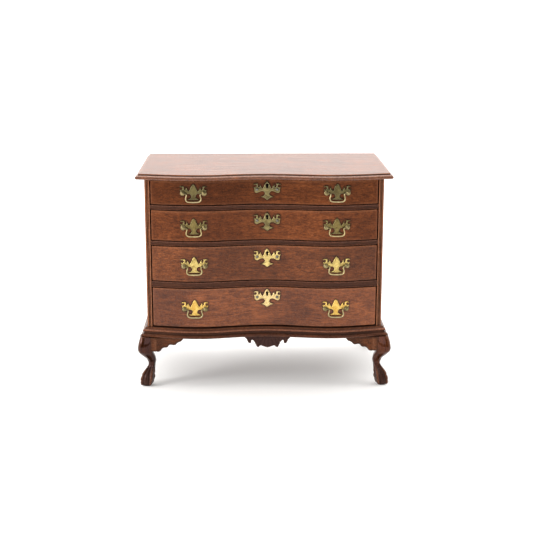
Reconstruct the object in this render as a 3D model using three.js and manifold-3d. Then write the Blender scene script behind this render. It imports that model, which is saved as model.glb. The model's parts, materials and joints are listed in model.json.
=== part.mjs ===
// Miniature chest of drawers, one-twelfth scale, with an oxbow (reverse serpentine) front.
// Millimetres, +Z up, front facing -Y, right side +X. The floor is z = 0 and the origin is
// the middle of the footprint. Four drawers slide out towards -Y and each carries two bail
// handles that swing on a line parallel to X.
import * as THREE from 'three';
import Module from 'manifold-3d';

const wasm = await Module();
wasm.setup();

// ---------- driving dimensions ----------
const HEIGHT = 72.3;             // floor to the upper face of the top board
const TOP_WIDTH = 84;            // tip to tip of the moulded edge
const TOP_THICKNESS = 1.9;
const CASE_WIDTH = 78.5;         // outside of the two side boards
const SIDE_BOARD = 1.7;          // thickness of a side board
const BACK_PANEL = 1.2;          // thickness of the back panel
const BASE_BOTTOM = 17.25;       // under face of the base moulding
const BASE_TOP = 20.45;          // upper face of the base moulding
const BOTTOM_BOARD = 1.55;       // thickness of the board under the lowest drawer
const GLUE = 0.05;               // gap left between two glued faces
const RUN = 0.25;                // gap above and below a drawer front
const SIDE_RUN = 0.35;           // gap beside a drawer front

// Lines from front to back, each given where the front curve is zero.
const TOP_FRONT = -23.645;       // tip of the top board's moulded edge
const CASE_FRONT = -20.88;       // front face of the case and drawers
const CASE_BACK = 25.3;
const TOP_BACK = 26.335;

// The oxbow: the front swells forward on each side of a hollow middle.
const SWELL = 2.75;              // how far each swelling stands forward of the middle
const SWELL_PITCH = 45;          // distance between the crests of the two swellings
const CORNER_FALL = 0.8;         // how far the ends fall back
const CORNER_AT = TOP_WIDTH / 2;
const FRONT_STEPS = 24;          // straight steps along a curved front

// Drawers from the top down: height of each front, and of the rail under it.
const FRONT_HEIGHTS = [8.0, 10.0, 11.75, 13.15];
const RAIL_HEIGHTS = [1.45, 1.45, 1.95];
const FRONT_THICKNESS = 1.7;     // drawer front at the hollow middle
const DRAWER_WALL = 1.0;         // sides and back of a drawer
const DRAWER_FLOOR = 0.8;
const FLOOR_RAISE = 0.4;         // drawer floor above the lower edge of the sides
const SIDE_DROP = 1.0;           // drawer sides stop this far below the front's top edge
const DRAWER_BACK = 23.2;        // rear face of a drawer
const ARRIS = 0.15;              // worn edge all round a drawer front

// Brass handles and keyhole plates.
const HANDLE_SPACING = 46.8;     // between the two handles of a drawer
const HANDLE_SHIFT = 0.3;        // both handles sit this far right of centre
const ESCUTCHEON_SHIFT = 0.9;    // keyhole plates sit this far right of centre
const HANDLE_TIPS = [69.3, 57.9, 45.0, 30.4];        // height of each handle plate's spike
const ESCUTCHEON_TIPS = [69.75, 59.4, 47.2, 33.45];  // height of each keyhole plate's spike
const PLATE = 0.34;              // thickness of the brass plates
const POST_X = 3.5;              // handle post from the middle of its plate
const PIVOT_DROP = 3.2;          // pivot below the spike
const PIVOT_OUT = 0.95;          // pivot in front of the wood
const POST_RADIUS = 0.62;
const POST_END = 1.6;            // front of a post in front of the wood
const POST_DOME = 0.45;          // length of the rounded end of a post
const POST_SEGMENTS = 10;
const DOME_STEPS = 2;
const BORE_RADIUS = 0.36;
const BORE_DEPTH = 0.15;         // how far a bore passes the post's centre
const BORE_SEGMENTS = 8;
const WIRE_RADIUS = 0.26;
const WIRE_SIDES = 6;
const PIN_GAP = 0.1;             // between the end of a bail pin and the bore's floor

// Base, legs and carved pieces.
const LEG_TOP = BASE_BOTTOM - GLUE;
const BACK_LEG_SET_IN = 2.4;     // back legs stand this far in front of the case's back
const BRACKET_THICKNESS = 1.5;
const BRACKET_OUT = 0.75;        // brackets stand this far out from the case face
const BRACKET_START = 36.68;     // inner face of the top of a front leg, from the middle
const BRACKET_TUCK = 1.6;        // a bracket reaches this far past that face, cut to fit the leg
const DROP_THICKNESS = 1.3;
const DROP_OUT = 1.1;            // the carved drop stands this far out from the case face
const DROP_SHIFT = 1.0;          // the carved drop hangs this far right of centre

const UNDERSIDE = HEIGHT - TOP_THICKNESS;
const CASE_INNER = CASE_WIDTH / 2 - SIDE_BOARD;
const FRONT_HALF = CASE_INNER - SIDE_RUN;
const BOARD_LIP = 0.1;           // bottom board's upper face above the base moulding
const BOARD_TOP = BASE_TOP + BOARD_LIP;
const PANEL_FRONT = CASE_BACK - BACK_PANEL;

// ---------- materials ----------
const wood = (color) => new THREE.MeshStandardMaterial({ color, roughness: 0.28, metalness: 0 });
const mahoganyTop = wood(0x6b3322);
const mahoganyCase = wood(0x5a2a1c);
const mahoganyFront = wood(0x71382a);
const mahoganyRail = wood(0x4b2519);
const mahoganyLeg = wood(0x4a2018);
const drawerLining = wood(0x9a7248);
const brass = new THREE.MeshStandardMaterial({ color: 0xb39a4e, roughness: 0.35, metalness: 1 });

const group = new THREE.Group();
group.name = 'miniature_chest_of_drawers';

function addNode(name, geometry, material) {
  const mesh = new THREE.Mesh(geometry, material);
  mesh.name = name;
  group.add(mesh);
}

// ---------- shape helpers ----------

// How far the front stands forward at a given x.
function bow(x) {
  const wave = SWELL * (1 - Math.cos((2 * Math.PI * x) / SWELL_PITCH)) / 2;
  return wave - CORNER_FALL * (x / CORNER_AT) ** 4;
}

function geometryFrom(positions, indices) {
  const geometry = new THREE.BufferGeometry();
  geometry.setAttribute('position', new THREE.Float32BufferAttribute(positions, 3));
  geometry.setIndex(indices);
  geometry.computeVertexNormals();
  return geometry;
}

// Skin through a stack of closed rings of [x, y, z] points, capped at both ends. The rings
// run anticlockwise seen from above, and the stack goes upwards.
function loft(rings) {
  const count = rings[0].length;
  const positions = rings.flat(2);
  const indices = [];
  for (let level = 0; level < rings.length - 1; level++) {
    for (let i = 0; i < count; i++) {
      const next = (i + 1) % count;
      const a = level * count + i;
      const b = level * count + next;
      const c = a + count;
      const d = b + count;
      indices.push(a, b, d, a, d, c);
    }
  }
  const outline = rings[0].map(([x, y]) => new THREE.Vector2(x, y));
  const topStart = (rings.length - 1) * count;
  for (const [i, j, k] of THREE.ShapeUtils.triangulateShape(outline, [])) {
    indices.push(k, j, i);
    indices.push(topStart + i, topStart + j, topStart + k);
  }
  return geometryFrom(positions, indices);
}

// A board whose front edge follows the oxbow. Each level is [inset, z]: the inset draws in
// the front edge, and the side edges too where sideShare is above zero.
function bowedBoard({ half, front, back, levels, sideShare = 0 }) {
  const rings = levels.map(([inset, z]) => {
    const reach = half - inset * sideShare;
    const ring = [];
    for (let i = 0; i <= FRONT_STEPS; i++) {
      const x = -reach + (2 * reach * i) / FRONT_STEPS;
      ring.push([x, front - bow(x) + inset, z]);
    }
    ring.push([reach, back, z], [-reach, back, z]);
    return ring;
  });
  return loft(rings);
}

function box(x0, x1, y0, y1, z0, z1) {
  const geometry = new THREE.BoxGeometry(x1 - x0, y1 - y0, z1 - z0);
  geometry.translate((x0 + x1) / 2, (y0 + y1) / 2, (z0 + z1) / 2);
  return geometry;
}

// A flat outline drawn in x and z, with its front face at y and its thickness behind it.
function slab(shape, thickness, y, curveSegments = 5) {
  const options = { depth: thickness, bevelEnabled: false, curveSegments };
  const geometry = new THREE.ExtrudeGeometry(shape, options);
  geometry.rotateX(Math.PI / 2);
  geometry.translate(0, y + thickness, 0);
  return geometry;
}

// ---------- solids for cutting and joining ----------
const MERGE = 1e4;               // points closer than 1/MERGE mm count as one

function toManifold(geometry) {
  const source = geometry.index ? geometry.toNonIndexed() : geometry;
  const points = source.attributes.position;
  const seen = new Map();
  const vertices = [];
  const triangles = [];
  for (let i = 0; i < points.count; i++) {
    const point = [points.getX(i), points.getY(i), points.getZ(i)];
    const key = point.map((v) => Math.round(v * MERGE)).join();
    if (!seen.has(key)) {
      seen.set(key, seen.size);
      vertices.push(...point);
    }
    triangles.push(seen.get(key));
  }
  const kept = [];
  for (let t = 0; t < triangles.length; t += 3) {
    const [a, b, c] = triangles.slice(t, t + 3);
    if (a !== b && b !== c && c !== a) {
      kept.push(a, b, c);
    }
  }
  return new wasm.Manifold(new wasm.Mesh({
    numProp: 3,
    vertProperties: new Float32Array(vertices),
    triVerts: new Uint32Array(kept),
  }));
}

function fromManifold(solid) {
  const mesh = solid.getMesh();
  return geometryFrom(Array.from(mesh.vertProperties), Array.from(mesh.triVerts));
}

const SHEET_STEP = 1.9;          // straight steps across a curved sheet

// A flat outline cut from a sheet that is bent to the oxbow: the outline is drawn in x and z
// about [x, z], and the sheet's front face is at `front` where the curve is zero.
function curvedPlate(shape, thickness, front, x, z) {
  const blank = slab(shape, 4 * SWELL, front - 2 * SWELL);
  blank.translate(x, 0, z);
  blank.computeBoundingBox();
  const from = blank.boundingBox.min.x - SHEET_STEP;
  const width = blank.boundingBox.max.x + SHEET_STEP - from;
  const steps = Math.ceil(width / SHEET_STEP);
  const ring = (height) => {
    const near = [];
    const far = [];
    for (let i = 0; i <= steps; i++) {
      const at = from + (width * i) / steps;
      near.push([at, front - bow(at), height]);
      far.unshift([at, front + thickness - bow(at), height]);
    }
    return [...near, ...far];
  };
  const low = blank.boundingBox.min.z - 1;
  const high = blank.boundingBox.max.z + 1;
  const sheet = toManifold(loft([ring(low), ring(high)]));
  return toManifold(blank).intersect(sheet);
}

// ---------- top board ----------
// A flat field, a small quirk cut down from it, then a rounded nose that turns under.
const QUIRK_IN = 1.0;
const QUIRK_DEEP = 0.45;
addNode('top_board', bowedBoard({
  half: TOP_WIDTH / 2,
  front: TOP_FRONT,
  back: TOP_BACK,
  sideShare: 1,
  levels: [
    [0.8, UNDERSIDE],
    [0.3, UNDERSIDE + 0.15],
    [0.05, UNDERSIDE + 0.4],
    [0, UNDERSIDE + 0.7],
    [0.12, UNDERSIDE + 1.05],
    [0.45, UNDERSIDE + 1.33],
    [QUIRK_IN - 0.1, HEIGHT - QUIRK_DEEP],
    [QUIRK_IN, HEIGHT - QUIRK_DEEP],
    [QUIRK_IN, HEIGHT - 0.06],
    [QUIRK_IN + 0.06, HEIGHT],
  ],
}), mahoganyTop);

// ---------- case ----------
const GROOVE_FROM = 0.75;        // groove in a side board's front edge, from outside
const GROOVE_WIDTH = 0.25;
const GROOVE_DEEP = 0.3;
const GROOVE_SLOPE = 0.04;       // the outer wall of the groove leans in by this
const BEAD_WIDTH = 0.4;          // bead on the inner arris of that edge
const BEAD_PROUD = 0.03;         // the bead stands this far in front of the edge
const BEAD_SHOULDER = 0.05;      // and falls back this far on its outer side
const BEAD_TURN = 0.12;          // and this far on its inner side
for (const side of [-1, 1]) {
  const outer = CASE_WIDTH / 2;
  const edge = (x, inset) => [side * x, CASE_FRONT - bow(x) + inset];
  const outline = [
    [side * outer, CASE_BACK],
    edge(outer, 0),
    edge(outer - GROOVE_FROM, 0),
    edge(outer - GROOVE_FROM - GROOVE_SLOPE, GROOVE_DEEP),
    edge(outer - GROOVE_FROM - GROOVE_WIDTH, GROOVE_DEEP),
    edge(CASE_INNER + BEAD_WIDTH, BEAD_SHOULDER),
    edge(CASE_INNER + BEAD_WIDTH / 2, -BEAD_PROUD),
    edge(CASE_INNER, BEAD_TURN),
    [side * CASE_INNER, CASE_BACK],
  ];
  if (side > 0) {
    outline.reverse();
  }
  const ring = (z) => outline.map(([x, y]) => [x, y, z]);
  const geometry = loft([ring(BASE_BOTTOM + GLUE), ring(UNDERSIDE - GLUE)]);
  addNode(side < 0 ? 'side_left' : 'side_right', geometry, mahoganyCase);
}

const between = CASE_INNER - GLUE;
addNode('back_panel', box(
  -between, between, PANEL_FRONT, CASE_BACK, BOARD_TOP - BOTTOM_BOARD, UNDERSIDE - GLUE,
), mahoganyCase);

addNode('bottom_board', bowedBoard({
  half: between,
  front: CASE_FRONT,
  back: PANEL_FRONT - GLUE,
  levels: [[0, BOARD_TOP - BOTTOM_BOARD], [0, BOARD_TOP]],
}), mahoganyRail);

// Height of every drawer front, worked out from the bottom board upwards.
const drawerLow = [];
let level = BOARD_TOP + RUN + GLUE;
for (let n = FRONT_HEIGHTS.length - 1; n >= 0; n--) {
  drawerLow[n] = level;
  level += FRONT_HEIGHTS[n] + RUN;
  if (n > 0) {
    level += RAIL_HEIGHTS[n - 1] + RUN;
  }
}

// Full-depth divider boards, their front edge worked with a bead above and below.
const RAIL_BEAD = 0.32;          // height of each bead
const RAIL_SINK = 0.18;          // the flat between the beads lies this far back
const RAIL_TURN = 0.12;          // each bead falls back this far at the rail's faces
const RAIL_QUIRK = 0.1;          // and this far where it meets the flat
const QUIRK_WIDTH = 0.05;
RAIL_HEIGHTS.forEach((height, n) => {
  const top = drawerLow[n] - RUN;
  const low = top - height;
  addNode(`divider_${n + 1}`, bowedBoard({
    half: between,
    front: CASE_FRONT,
    back: PANEL_FRONT - GLUE,
    levels: [
      [RAIL_TURN, low],
      [0, low + RAIL_BEAD / 2],
      [RAIL_QUIRK, low + RAIL_BEAD],
      [RAIL_SINK, low + RAIL_BEAD + QUIRK_WIDTH],
      [RAIL_SINK, top - RAIL_BEAD - QUIRK_WIDTH],
      [RAIL_QUIRK, top - RAIL_BEAD],
      [0, top - RAIL_BEAD / 2],
      [RAIL_TURN, top],
    ],
  }), mahoganyRail);
});

// ---------- base moulding ----------
// Section as [out, z]: out from the case face. A nosing below, a cove, then a small bead.
const MITRE_GAP = 2 * GLUE;
const BASE_SECTION = [
  [GLUE, BASE_BOTTOM],
  [1.7, BASE_BOTTOM],
  [1.95, BASE_BOTTOM + 0.2],
  [2.05, BASE_BOTTOM + 0.5],
  [1.9, BASE_BOTTOM + 0.85],
  [1.45, BASE_BOTTOM + 1.05],
  [1.15, BASE_BOTTOM + 1.25],
  [1.1, BASE_BOTTOM + 1.8],
  [1.3, BASE_BOTTOM + 2.0],
  [1.42, BASE_BOTTOM + 2.3],
  [1.25, BASE_BOTTOM + 2.6],
  [0.85, BASE_BOTTOM + 2.75],
  [0.6, BASE_TOP],
  [GLUE, BASE_TOP],
];

// Joins copies of the base section placed one after another, and closes both ends.
function sweepSection(stations) {
  const count = BASE_SECTION.length;
  const indices = [];
  for (let s = 0; s < stations.length - 1; s++) {
    for (let i = 0; i < count; i++) {
      const next = (i + 1) % count;
      const a = s * count + i;
      const b = s * count + next;
      indices.push(a, a + count, b + count, a, b + count, b);
    }
  }
  const outline = BASE_SECTION.map(([out, z]) => new THREE.Vector2(out, z));
  const last = (stations.length - 1) * count;
  for (const [i, j, k] of THREE.ShapeUtils.triangulateShape(outline, [])) {
    indices.push(i, j, k);
    indices.push(last + k, last + j, last + i);
  }
  return geometryFrom(stations.flat(2), indices);
}

const caseHalf = CASE_WIDTH / 2;
const frontStations = [];
for (let i = 0; i <= FRONT_STEPS; i++) {
  const share = -1 + (2 * i) / FRONT_STEPS;
  frontStations.push(BASE_SECTION.map(([out, z]) => {
    const x = share * (caseHalf + out);
    return [x, CASE_FRONT - bow(x) - out, z];
  }));
}
addNode('base_moulding_front', sweepSection(frontStations), mahoganyRail);

for (const side of [-1, 1]) {
  const mitre = BASE_SECTION.map(([out, z]) => {
    const x = caseHalf + out;
    return [side * x, CASE_FRONT - bow(x) - out + MITRE_GAP, z];
  });
  const rear = BASE_SECTION.map(([out, z]) => [side * (caseHalf + out), CASE_BACK, z]);
  const stations = side < 0 ? [rear, mitre] : [mitre, rear];
  const name = side < 0 ? 'base_moulding_left' : 'base_moulding_right';
  addNode(name, sweepSection(stations), mahoganyRail);
}

// ---------- legs ----------
// Sections down a cabriole leg: height, shift of the centre out from the case corner, half
// width, and squareness (2 is round). The knee swells at 13 mm, the ankle is at 7 mm and a
// ball with clasping claws meets the floor.
const LEG_SECTIONS = [
  { z: 0, out: 0.5, half: 1.4, square: 2.6 },
  { z: 0.6, out: 0.52, half: 2.02, square: 2.5 },
  { z: 1.5, out: 0.4, half: 2.38, square: 2.5 },
  { z: 2.7, out: 0.2, half: 2.43, square: 2.5 },
  { z: 3.7, out: 0.07, half: 2.24, square: 2.5 },
  { z: 4.6, out: -0.2, half: 1.9, square: 2.4 },
  { z: 5.3, out: -0.48, half: 1.54, square: 2.3 },
  { z: 6.1, out: -0.86, half: 1.18, square: 2.2 },
  { z: 6.9, out: -1.14, half: 1.08, square: 2.0 },
  { z: 7.9, out: -1.22, half: 1.26, square: 2.1 },
  { z: 9.1, out: -0.88, half: 1.64, square: 2.3 },
  { z: 10.2, out: -0.32, half: 2.03, square: 2.6 },
  { z: 11.2, out: 0.25, half: 2.3, square: 2.8 },
  { z: 12.1, out: 0.68, half: 2.48, square: 3.0 },
  { z: 13.3, out: 0.8, half: 2.55, square: 3.0 },
  { z: 15.0, out: 0.38, half: 2.62, square: 3.4 },
  { z: 16.4, out: -0.12, half: 2.5, square: 4.5 },
  { z: LEG_TOP, out: -0.4, half: 2.3, square: 6.0 },
];
const LEG_SEGMENTS = 20;
const FRONT_CORNER = CASE_FRONT - bow(caseHalf);
const BACK_CORNER = CASE_BACK - BACK_LEG_SET_IN;

// Rings up a leg; swell makes it thicker all round.
function legRings(side, depth, swell = 0) {
  const corner = depth < 0 ? FRONT_CORNER : BACK_CORNER;
  return LEG_SECTIONS.map(({ z, out, half, square }) => {
    const cx = side * (caseHalf + out);
    const cy = corner + depth * out;
    const ring = [];
    for (let i = 0; i < LEG_SEGMENTS; i++) {
      const angle = (2 * Math.PI * i) / LEG_SEGMENTS;
      const c = Math.cos(angle);
      const s = Math.sin(angle);
      const spread = (Math.abs(c) ** square + Math.abs(s) ** square) ** (-1 / square);
      const radius = (half + swell) * spread;
      ring.push([cx + radius * c, cy + radius * s, z]);
    }
    return ring;
  });
}
addNode('leg_front_left', loft(legRings(-1, -1)), mahoganyLeg);
addNode('leg_front_right', loft(legRings(1, -1)), mahoganyLeg);
addNode('leg_back_left', loft(legRings(-1, 1)), mahoganyLeg);
addNode('leg_back_right', loft(legRings(1, 1)), mahoganyLeg);

// The space a front leg takes up, with a glue gap round it and open room above.
function legSpace(side) {
  const rings = legRings(side, -1, GLUE);
  const above = rings[rings.length - 1].map(([x, y, z]) => [x, y, z + 1]);
  return toManifold(loft([...rings, above]));
}

// ---------- knee brackets ----------
// Stepped scallops that shrink away from the leg. Drawn with u running away from the leg
// and v down from the base moulding, both positive. The end by the leg is cut to fit it.
function bracketShape(sign) {
  const shape = new THREE.Shape();
  const at = (u, v) => [sign * u, -v];
  shape.moveTo(...at(-BRACKET_TUCK, 0));
  shape.lineTo(...at(-BRACKET_TUCK, 4.9));
  shape.lineTo(...at(0.5, 4.8));
  shape.quadraticCurveTo(...at(1.5, 5.2), ...at(1.95, 4.5));
  shape.quadraticCurveTo(...at(2.25, 3.75), ...at(3.1, 3.65));
  shape.quadraticCurveTo(...at(4.2, 3.7), ...at(4.5, 2.95));
  shape.quadraticCurveTo(...at(4.8, 2.45), ...at(5.6, 2.55));
  shape.quadraticCurveTo(...at(6.7, 2.75), ...at(7.1, 2.25));
  shape.quadraticCurveTo(...at(7.6, 1.6), ...at(8.3, 1.4));
  shape.quadraticCurveTo(...at(9.0, 1.1), ...at(9.3, 0.5));
  shape.lineTo(...at(9.8, 0));
  shape.closePath();
  return shape;
}

for (const side of [-1, 1]) {
  const name = side < 0 ? 'left' : 'right';
  const front = curvedPlate(
    bracketShape(-side), BRACKET_THICKNESS, CASE_FRONT - BRACKET_OUT, side * BRACKET_START, LEG_TOP,
  );
  const fitted = front.subtract(legSpace(side));
  addNode(`knee_bracket_front_${name}`, fromManifold(fitted), mahoganyLeg);

  const flank = slab(bracketShape(1), BRACKET_THICKNESS, 0, 4);
  flank.rotateZ(Math.PI / 2);
  const outerFace = caseHalf + BRACKET_OUT;
  const x = side < 0 ? BRACKET_THICKNESS - outerFace : outerFace;
  const legFace = FRONT_CORNER + (caseHalf - BRACKET_START);
  flank.translate(x, legFace, LEG_TOP);
  const fittedFlank = toManifold(flank).subtract(legSpace(side));
  addNode(`knee_bracket_side_${name}`, fromManifold(fittedFlank), mahoganyLeg);
}

// ---------- carved drop under the middle of the base ----------
// Half outline from the middle outwards; the other half mirrors it.
const DROP_HALF = [
  [0, 4.0],
  [1.1, 3.7],
  [2.3, 3.3],
  [2.6, 3.5],
  [3.3, 3.9],
  [3.8, 3.3],
  [4.4, 2.0],
  [5.2, 1.3],
  [5.6, 1.4],
  [5.9, 2.35],
  [6.4, 2.2],
  [6.9, 1.1],
  [7.7, 0.35],
  [7.9, 0],
];
const dropShape = new THREE.Shape();
const dropOutline = [
  ...DROP_HALF.map(([u, v]) => [u, -v]),
  ...DROP_HALF.slice(1).reverse().map(([u, v]) => [-u, -v]),
];
dropShape.setFromPoints(dropOutline.map(([u, v]) => new THREE.Vector2(u, v)));
const drop = curvedPlate(dropShape, DROP_THICKNESS, CASE_FRONT - DROP_OUT, DROP_SHIFT, LEG_TOP);
addNode('skirt_drop', fromManifold(drop), mahoganyLeg);

// ---------- brass plates ----------
// Right half of the bat-wing outline as [u, v] from the spike, v down: the spike, a notch, a
// small spike, a slot, the hooked scroll with its eye, the round lobe under it, then the
// arch back to the neck and the fishtail foot.
function wingOutline(foot) {
  const half = [
    [0, 0],
    [0.57, 0.8],
    [0.9, 1.5],
    [1.5, 2.28],
    [1.9, 1.85],
    [2.33, 1.2],
    [2.5, 1.62],
    [2.68, 1.9],
    [2.92, 1.65],
    [3.02, 0.9],
    [3.5, 0.78],
    [4.0, 0.82],
    [4.36, 1.0],
    [4.36, 1.24],
    [3.72, 1.24],
    [3.5, 1.45],
    [3.52, 1.8],
    [3.8, 2.0],
    [4.32, 1.92],
    [4.44, 2.12],
    [4.16, 2.55],
    [4.18, 3.2],
    [3.82, 3.88],
    [3.4, 4.0],
    [2.5, 3.62],
    [1.5, 3.38],
    [1.0, 3.65],
    [0.75, 4.25],
    [1.05, 4.85],
    [1.9, 5.22],
    ...foot,
  ];
  const left = half.slice(1).reverse().map(([u, v]) => [-u, v]);
  const points = [...half, ...left].map(([u, v]) => new THREE.Vector2(u, -v));
  return points.filter((point, i) => i === 0 || point.distanceTo(points[i - 1]) > 0);
}
const HANDLE_FOOT = [[0.8, 5.42], [0, 5.45]];
const ESCUTCHEON_FOOT = [[1.08, 5.47], [0.72, 5.75], [0, 6.28]];

const KEYHOLE_RADIUS = 0.34;
const KEYHOLE_DOWN = 1.35;       // its round part below the spike
const KEYHOLE_SLOT = 0.2;        // half width of the slot
const KEYHOLE_LENGTH = 0.95;     // slot below the centre of the round part
function keyhole() {
  const path = new THREE.Path();
  const start = -Math.acos(KEYHOLE_SLOT / KEYHOLE_RADIUS);
  path.absarc(0, -KEYHOLE_DOWN, KEYHOLE_RADIUS, start, Math.PI - start, false);
  path.lineTo(-KEYHOLE_SLOT, -KEYHOLE_DOWN - KEYHOLE_LENGTH);
  path.lineTo(KEYHOLE_SLOT, -KEYHOLE_DOWN - KEYHOLE_LENGTH);
  path.closePath();
  return path;
}

const plateFront = CASE_FRONT - GLUE - PLATE;

function escutcheon(tip) {
  const shape = new THREE.Shape(wingOutline(ESCUTCHEON_FOOT));
  shape.holes.push(keyhole());
  return fromManifold(curvedPlate(shape, PLATE, plateFront, ESCUTCHEON_SHIFT, tip));
}

// ---------- handles ----------
// A post stands forward from the plate, ends in a dome, and is bored from its inner side.
function post(rootY, endY) {
  const straight = rootY - endY - POST_DOME;
  const profile = [new THREE.Vector2(0, 0), new THREE.Vector2(POST_RADIUS, 0)];
  for (let i = 0; i <= DOME_STEPS; i++) {
    const angle = (Math.PI / 2) * (i / DOME_STEPS);
    const r = i === DOME_STEPS ? 0 : POST_RADIUS * Math.cos(angle);
    profile.push(new THREE.Vector2(r, straight + POST_DOME * Math.sin(angle)));
  }
  const geometry = new THREE.LatheGeometry(profile, POST_SEGMENTS);
  geometry.rotateX(Math.PI);
  geometry.translate(0, rootY, 0);
  return geometry;
}

function handlePlate(centreX, tip) {
  const shape = new THREE.Shape(wingOutline(HANDLE_FOOT));
  let solid = curvedPlate(shape, PLATE, plateFront, centreX, tip);
  const woodFace = CASE_FRONT - bow(centreX);
  for (const side of [-1, 1]) {
    const x = centreX + side * POST_X;
    const root = CASE_FRONT - GLUE - bow(x) - PLATE / 2;
    const geometry = post(root, woodFace - POST_END);
    geometry.translate(x, 0, tip - PIVOT_DROP);
    solid = solid.add(toManifold(geometry));
    const boreLength = 2 * POST_RADIUS;
    const bore = new THREE.CylinderGeometry(BORE_RADIUS, BORE_RADIUS, boreLength, BORE_SEGMENTS);
    bore.rotateZ(Math.PI / 2);
    const boreX = x - side * (boreLength / 2 - BORE_DEPTH);
    bore.translate(boreX, woodFace - PIVOT_OUT, tip - PIVOT_DROP);
    solid = solid.subtract(toManifold(bore));
  }
  return fromManifold(solid);
}

// Centre line of a bail in x and z about the pivot, from its right pin to the middle, then
// the mirror of it.
function bail(centreX, tip) {
  const pinEnd = POST_X + BORE_DEPTH - PIN_GAP;
  const half = [
    [pinEnd, 0],
    [2.75, 0],
    [2.4, -0.1],
    [2.24, -0.45],
    [2.4, -1.05],
    [2.55, -1.65],
    [2.35, -2.3],
    [1.8, -2.68],
    [0, -2.78],
  ];
  const right = half.map(([u, v]) => new THREE.Vector3(u, 0, v));
  const left = half.slice(0, -1).reverse().map(([u, v]) => new THREE.Vector3(-u, 0, v));
  const points = [...right, ...left];
  return wireAlong(points, centreX, CASE_FRONT - bow(centreX) - PIVOT_OUT, tip - PIVOT_DROP);
}

// Round wire through points that all lie in one upright plane facing -Y.
function wireAlong(points, x, y, z) {
  const positions = [];
  points.forEach((point, i) => {
    const before = points[Math.max(i - 1, 0)];
    const after = points[Math.min(i + 1, points.length - 1)];
    const along = after.clone().sub(before).normalize();
    const across = new THREE.Vector3(-along.z, 0, along.x);
    for (let k = 0; k < WIRE_SIDES; k++) {
      const angle = (2 * Math.PI * k) / WIRE_SIDES;
      const sideways = WIRE_RADIUS * Math.cos(angle);
      const forward = WIRE_RADIUS * Math.sin(angle);
      positions.push(
        x + point.x + across.x * sideways,
        y + forward,
        z + point.z + across.z * sideways,
      );
    }
  });
  const indices = [];
  for (let i = 0; i < points.length - 1; i++) {
    for (let k = 0; k < WIRE_SIDES; k++) {
      const a = i * WIRE_SIDES + k;
      const b = i * WIRE_SIDES + ((k + 1) % WIRE_SIDES);
      indices.push(a, b + WIRE_SIDES, b, a, a + WIRE_SIDES, b + WIRE_SIDES);
    }
  }
  const last = (points.length - 1) * WIRE_SIDES;
  for (let k = 1; k < WIRE_SIDES - 1; k++) {
    indices.push(0, k, k + 1);
    indices.push(last, last + k + 1, last + k);
  }
  return geometryFrom(positions, indices);
}

// ---------- drawers ----------
const FRONT_BACK = CASE_FRONT + FRONT_THICKNESS;   // flat inner face of a drawer front
const FRONT_LAP = 0.2;                             // a front reaches past the drawer's side
const BOX_HALF = FRONT_HALF - FRONT_LAP;           // outside of a drawer's side
FRONT_HEIGHTS.forEach((height, n) => {
  const name = `drawer_${n + 1}`;
  const low = drawerLow[n];
  const high = low + height;
  addNode(`${name}_front`, bowedBoard({
    half: FRONT_HALF,
    front: CASE_FRONT,
    back: FRONT_BACK,
    sideShare: 1,
    levels: [[ARRIS, low], [0, low + ARRIS], [0, high - ARRIS], [ARRIS, high]],
  }), mahoganyFront);

  const sideTop = high - SIDE_DROP;
  const inner = BOX_HALF - DRAWER_WALL;
  const sideFront = FRONT_BACK + GLUE;
  addNode(`${name}_side_left`, box(-BOX_HALF, -inner, sideFront, DRAWER_BACK, low, sideTop),
    drawerLining);
  addNode(`${name}_side_right`, box(inner, BOX_HALF, sideFront, DRAWER_BACK, low, sideTop),
    drawerLining);
  const backFront = DRAWER_BACK - DRAWER_WALL;
  const floorLow = low + FLOOR_RAISE;
  const floorHigh = floorLow + DRAWER_FLOOR;
  const across = inner - GLUE;
  addNode(`${name}_back`, box(
    -across, across, backFront, DRAWER_BACK, floorHigh + GLUE, sideTop,
  ), drawerLining);
  addNode(`${name}_bottom`, box(
    -across, across, sideFront, DRAWER_BACK, floorLow, floorHigh,
  ), drawerLining);

  addNode(`${name}_escutcheon`, escutcheon(ESCUTCHEON_TIPS[n]), brass);
  for (const side of [-1, 1]) {
    const hand = side < 0 ? 'left' : 'right';
    const x = (side * HANDLE_SPACING) / 2 + HANDLE_SHIFT;
    addNode(`${name}_plate_${hand}`, handlePlate(x, HANDLE_TIPS[n]), brass);
    addNode(`${name}_bail_${hand}`, bail(x, HANDLE_TIPS[n]), brass);
  }
});

export default group;
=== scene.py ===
# Miniature oxbow chest of drawers: the looks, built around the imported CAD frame.
# Shapes are worked out in millimetres and written to Blender in metres.
import json
import math

import bmesh
import bpy
import numpy as np
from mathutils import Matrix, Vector, noise
from mathutils.geometry import delaunay_2d_cdt


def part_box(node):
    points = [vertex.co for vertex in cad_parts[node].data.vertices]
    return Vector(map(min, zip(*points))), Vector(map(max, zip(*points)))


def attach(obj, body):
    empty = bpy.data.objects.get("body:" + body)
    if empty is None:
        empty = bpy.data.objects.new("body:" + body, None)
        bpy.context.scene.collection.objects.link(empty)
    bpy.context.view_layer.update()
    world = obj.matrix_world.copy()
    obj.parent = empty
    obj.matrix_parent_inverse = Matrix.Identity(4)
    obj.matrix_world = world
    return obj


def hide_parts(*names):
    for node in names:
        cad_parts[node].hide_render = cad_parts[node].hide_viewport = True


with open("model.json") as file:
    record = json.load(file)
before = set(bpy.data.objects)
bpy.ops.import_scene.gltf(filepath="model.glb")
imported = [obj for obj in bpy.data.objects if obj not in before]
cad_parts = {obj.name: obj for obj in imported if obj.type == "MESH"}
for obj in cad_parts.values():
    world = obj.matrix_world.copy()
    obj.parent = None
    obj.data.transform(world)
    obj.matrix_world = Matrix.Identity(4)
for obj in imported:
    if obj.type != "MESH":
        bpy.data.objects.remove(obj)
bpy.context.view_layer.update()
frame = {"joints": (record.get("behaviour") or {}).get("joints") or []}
MM = 0.001


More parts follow.
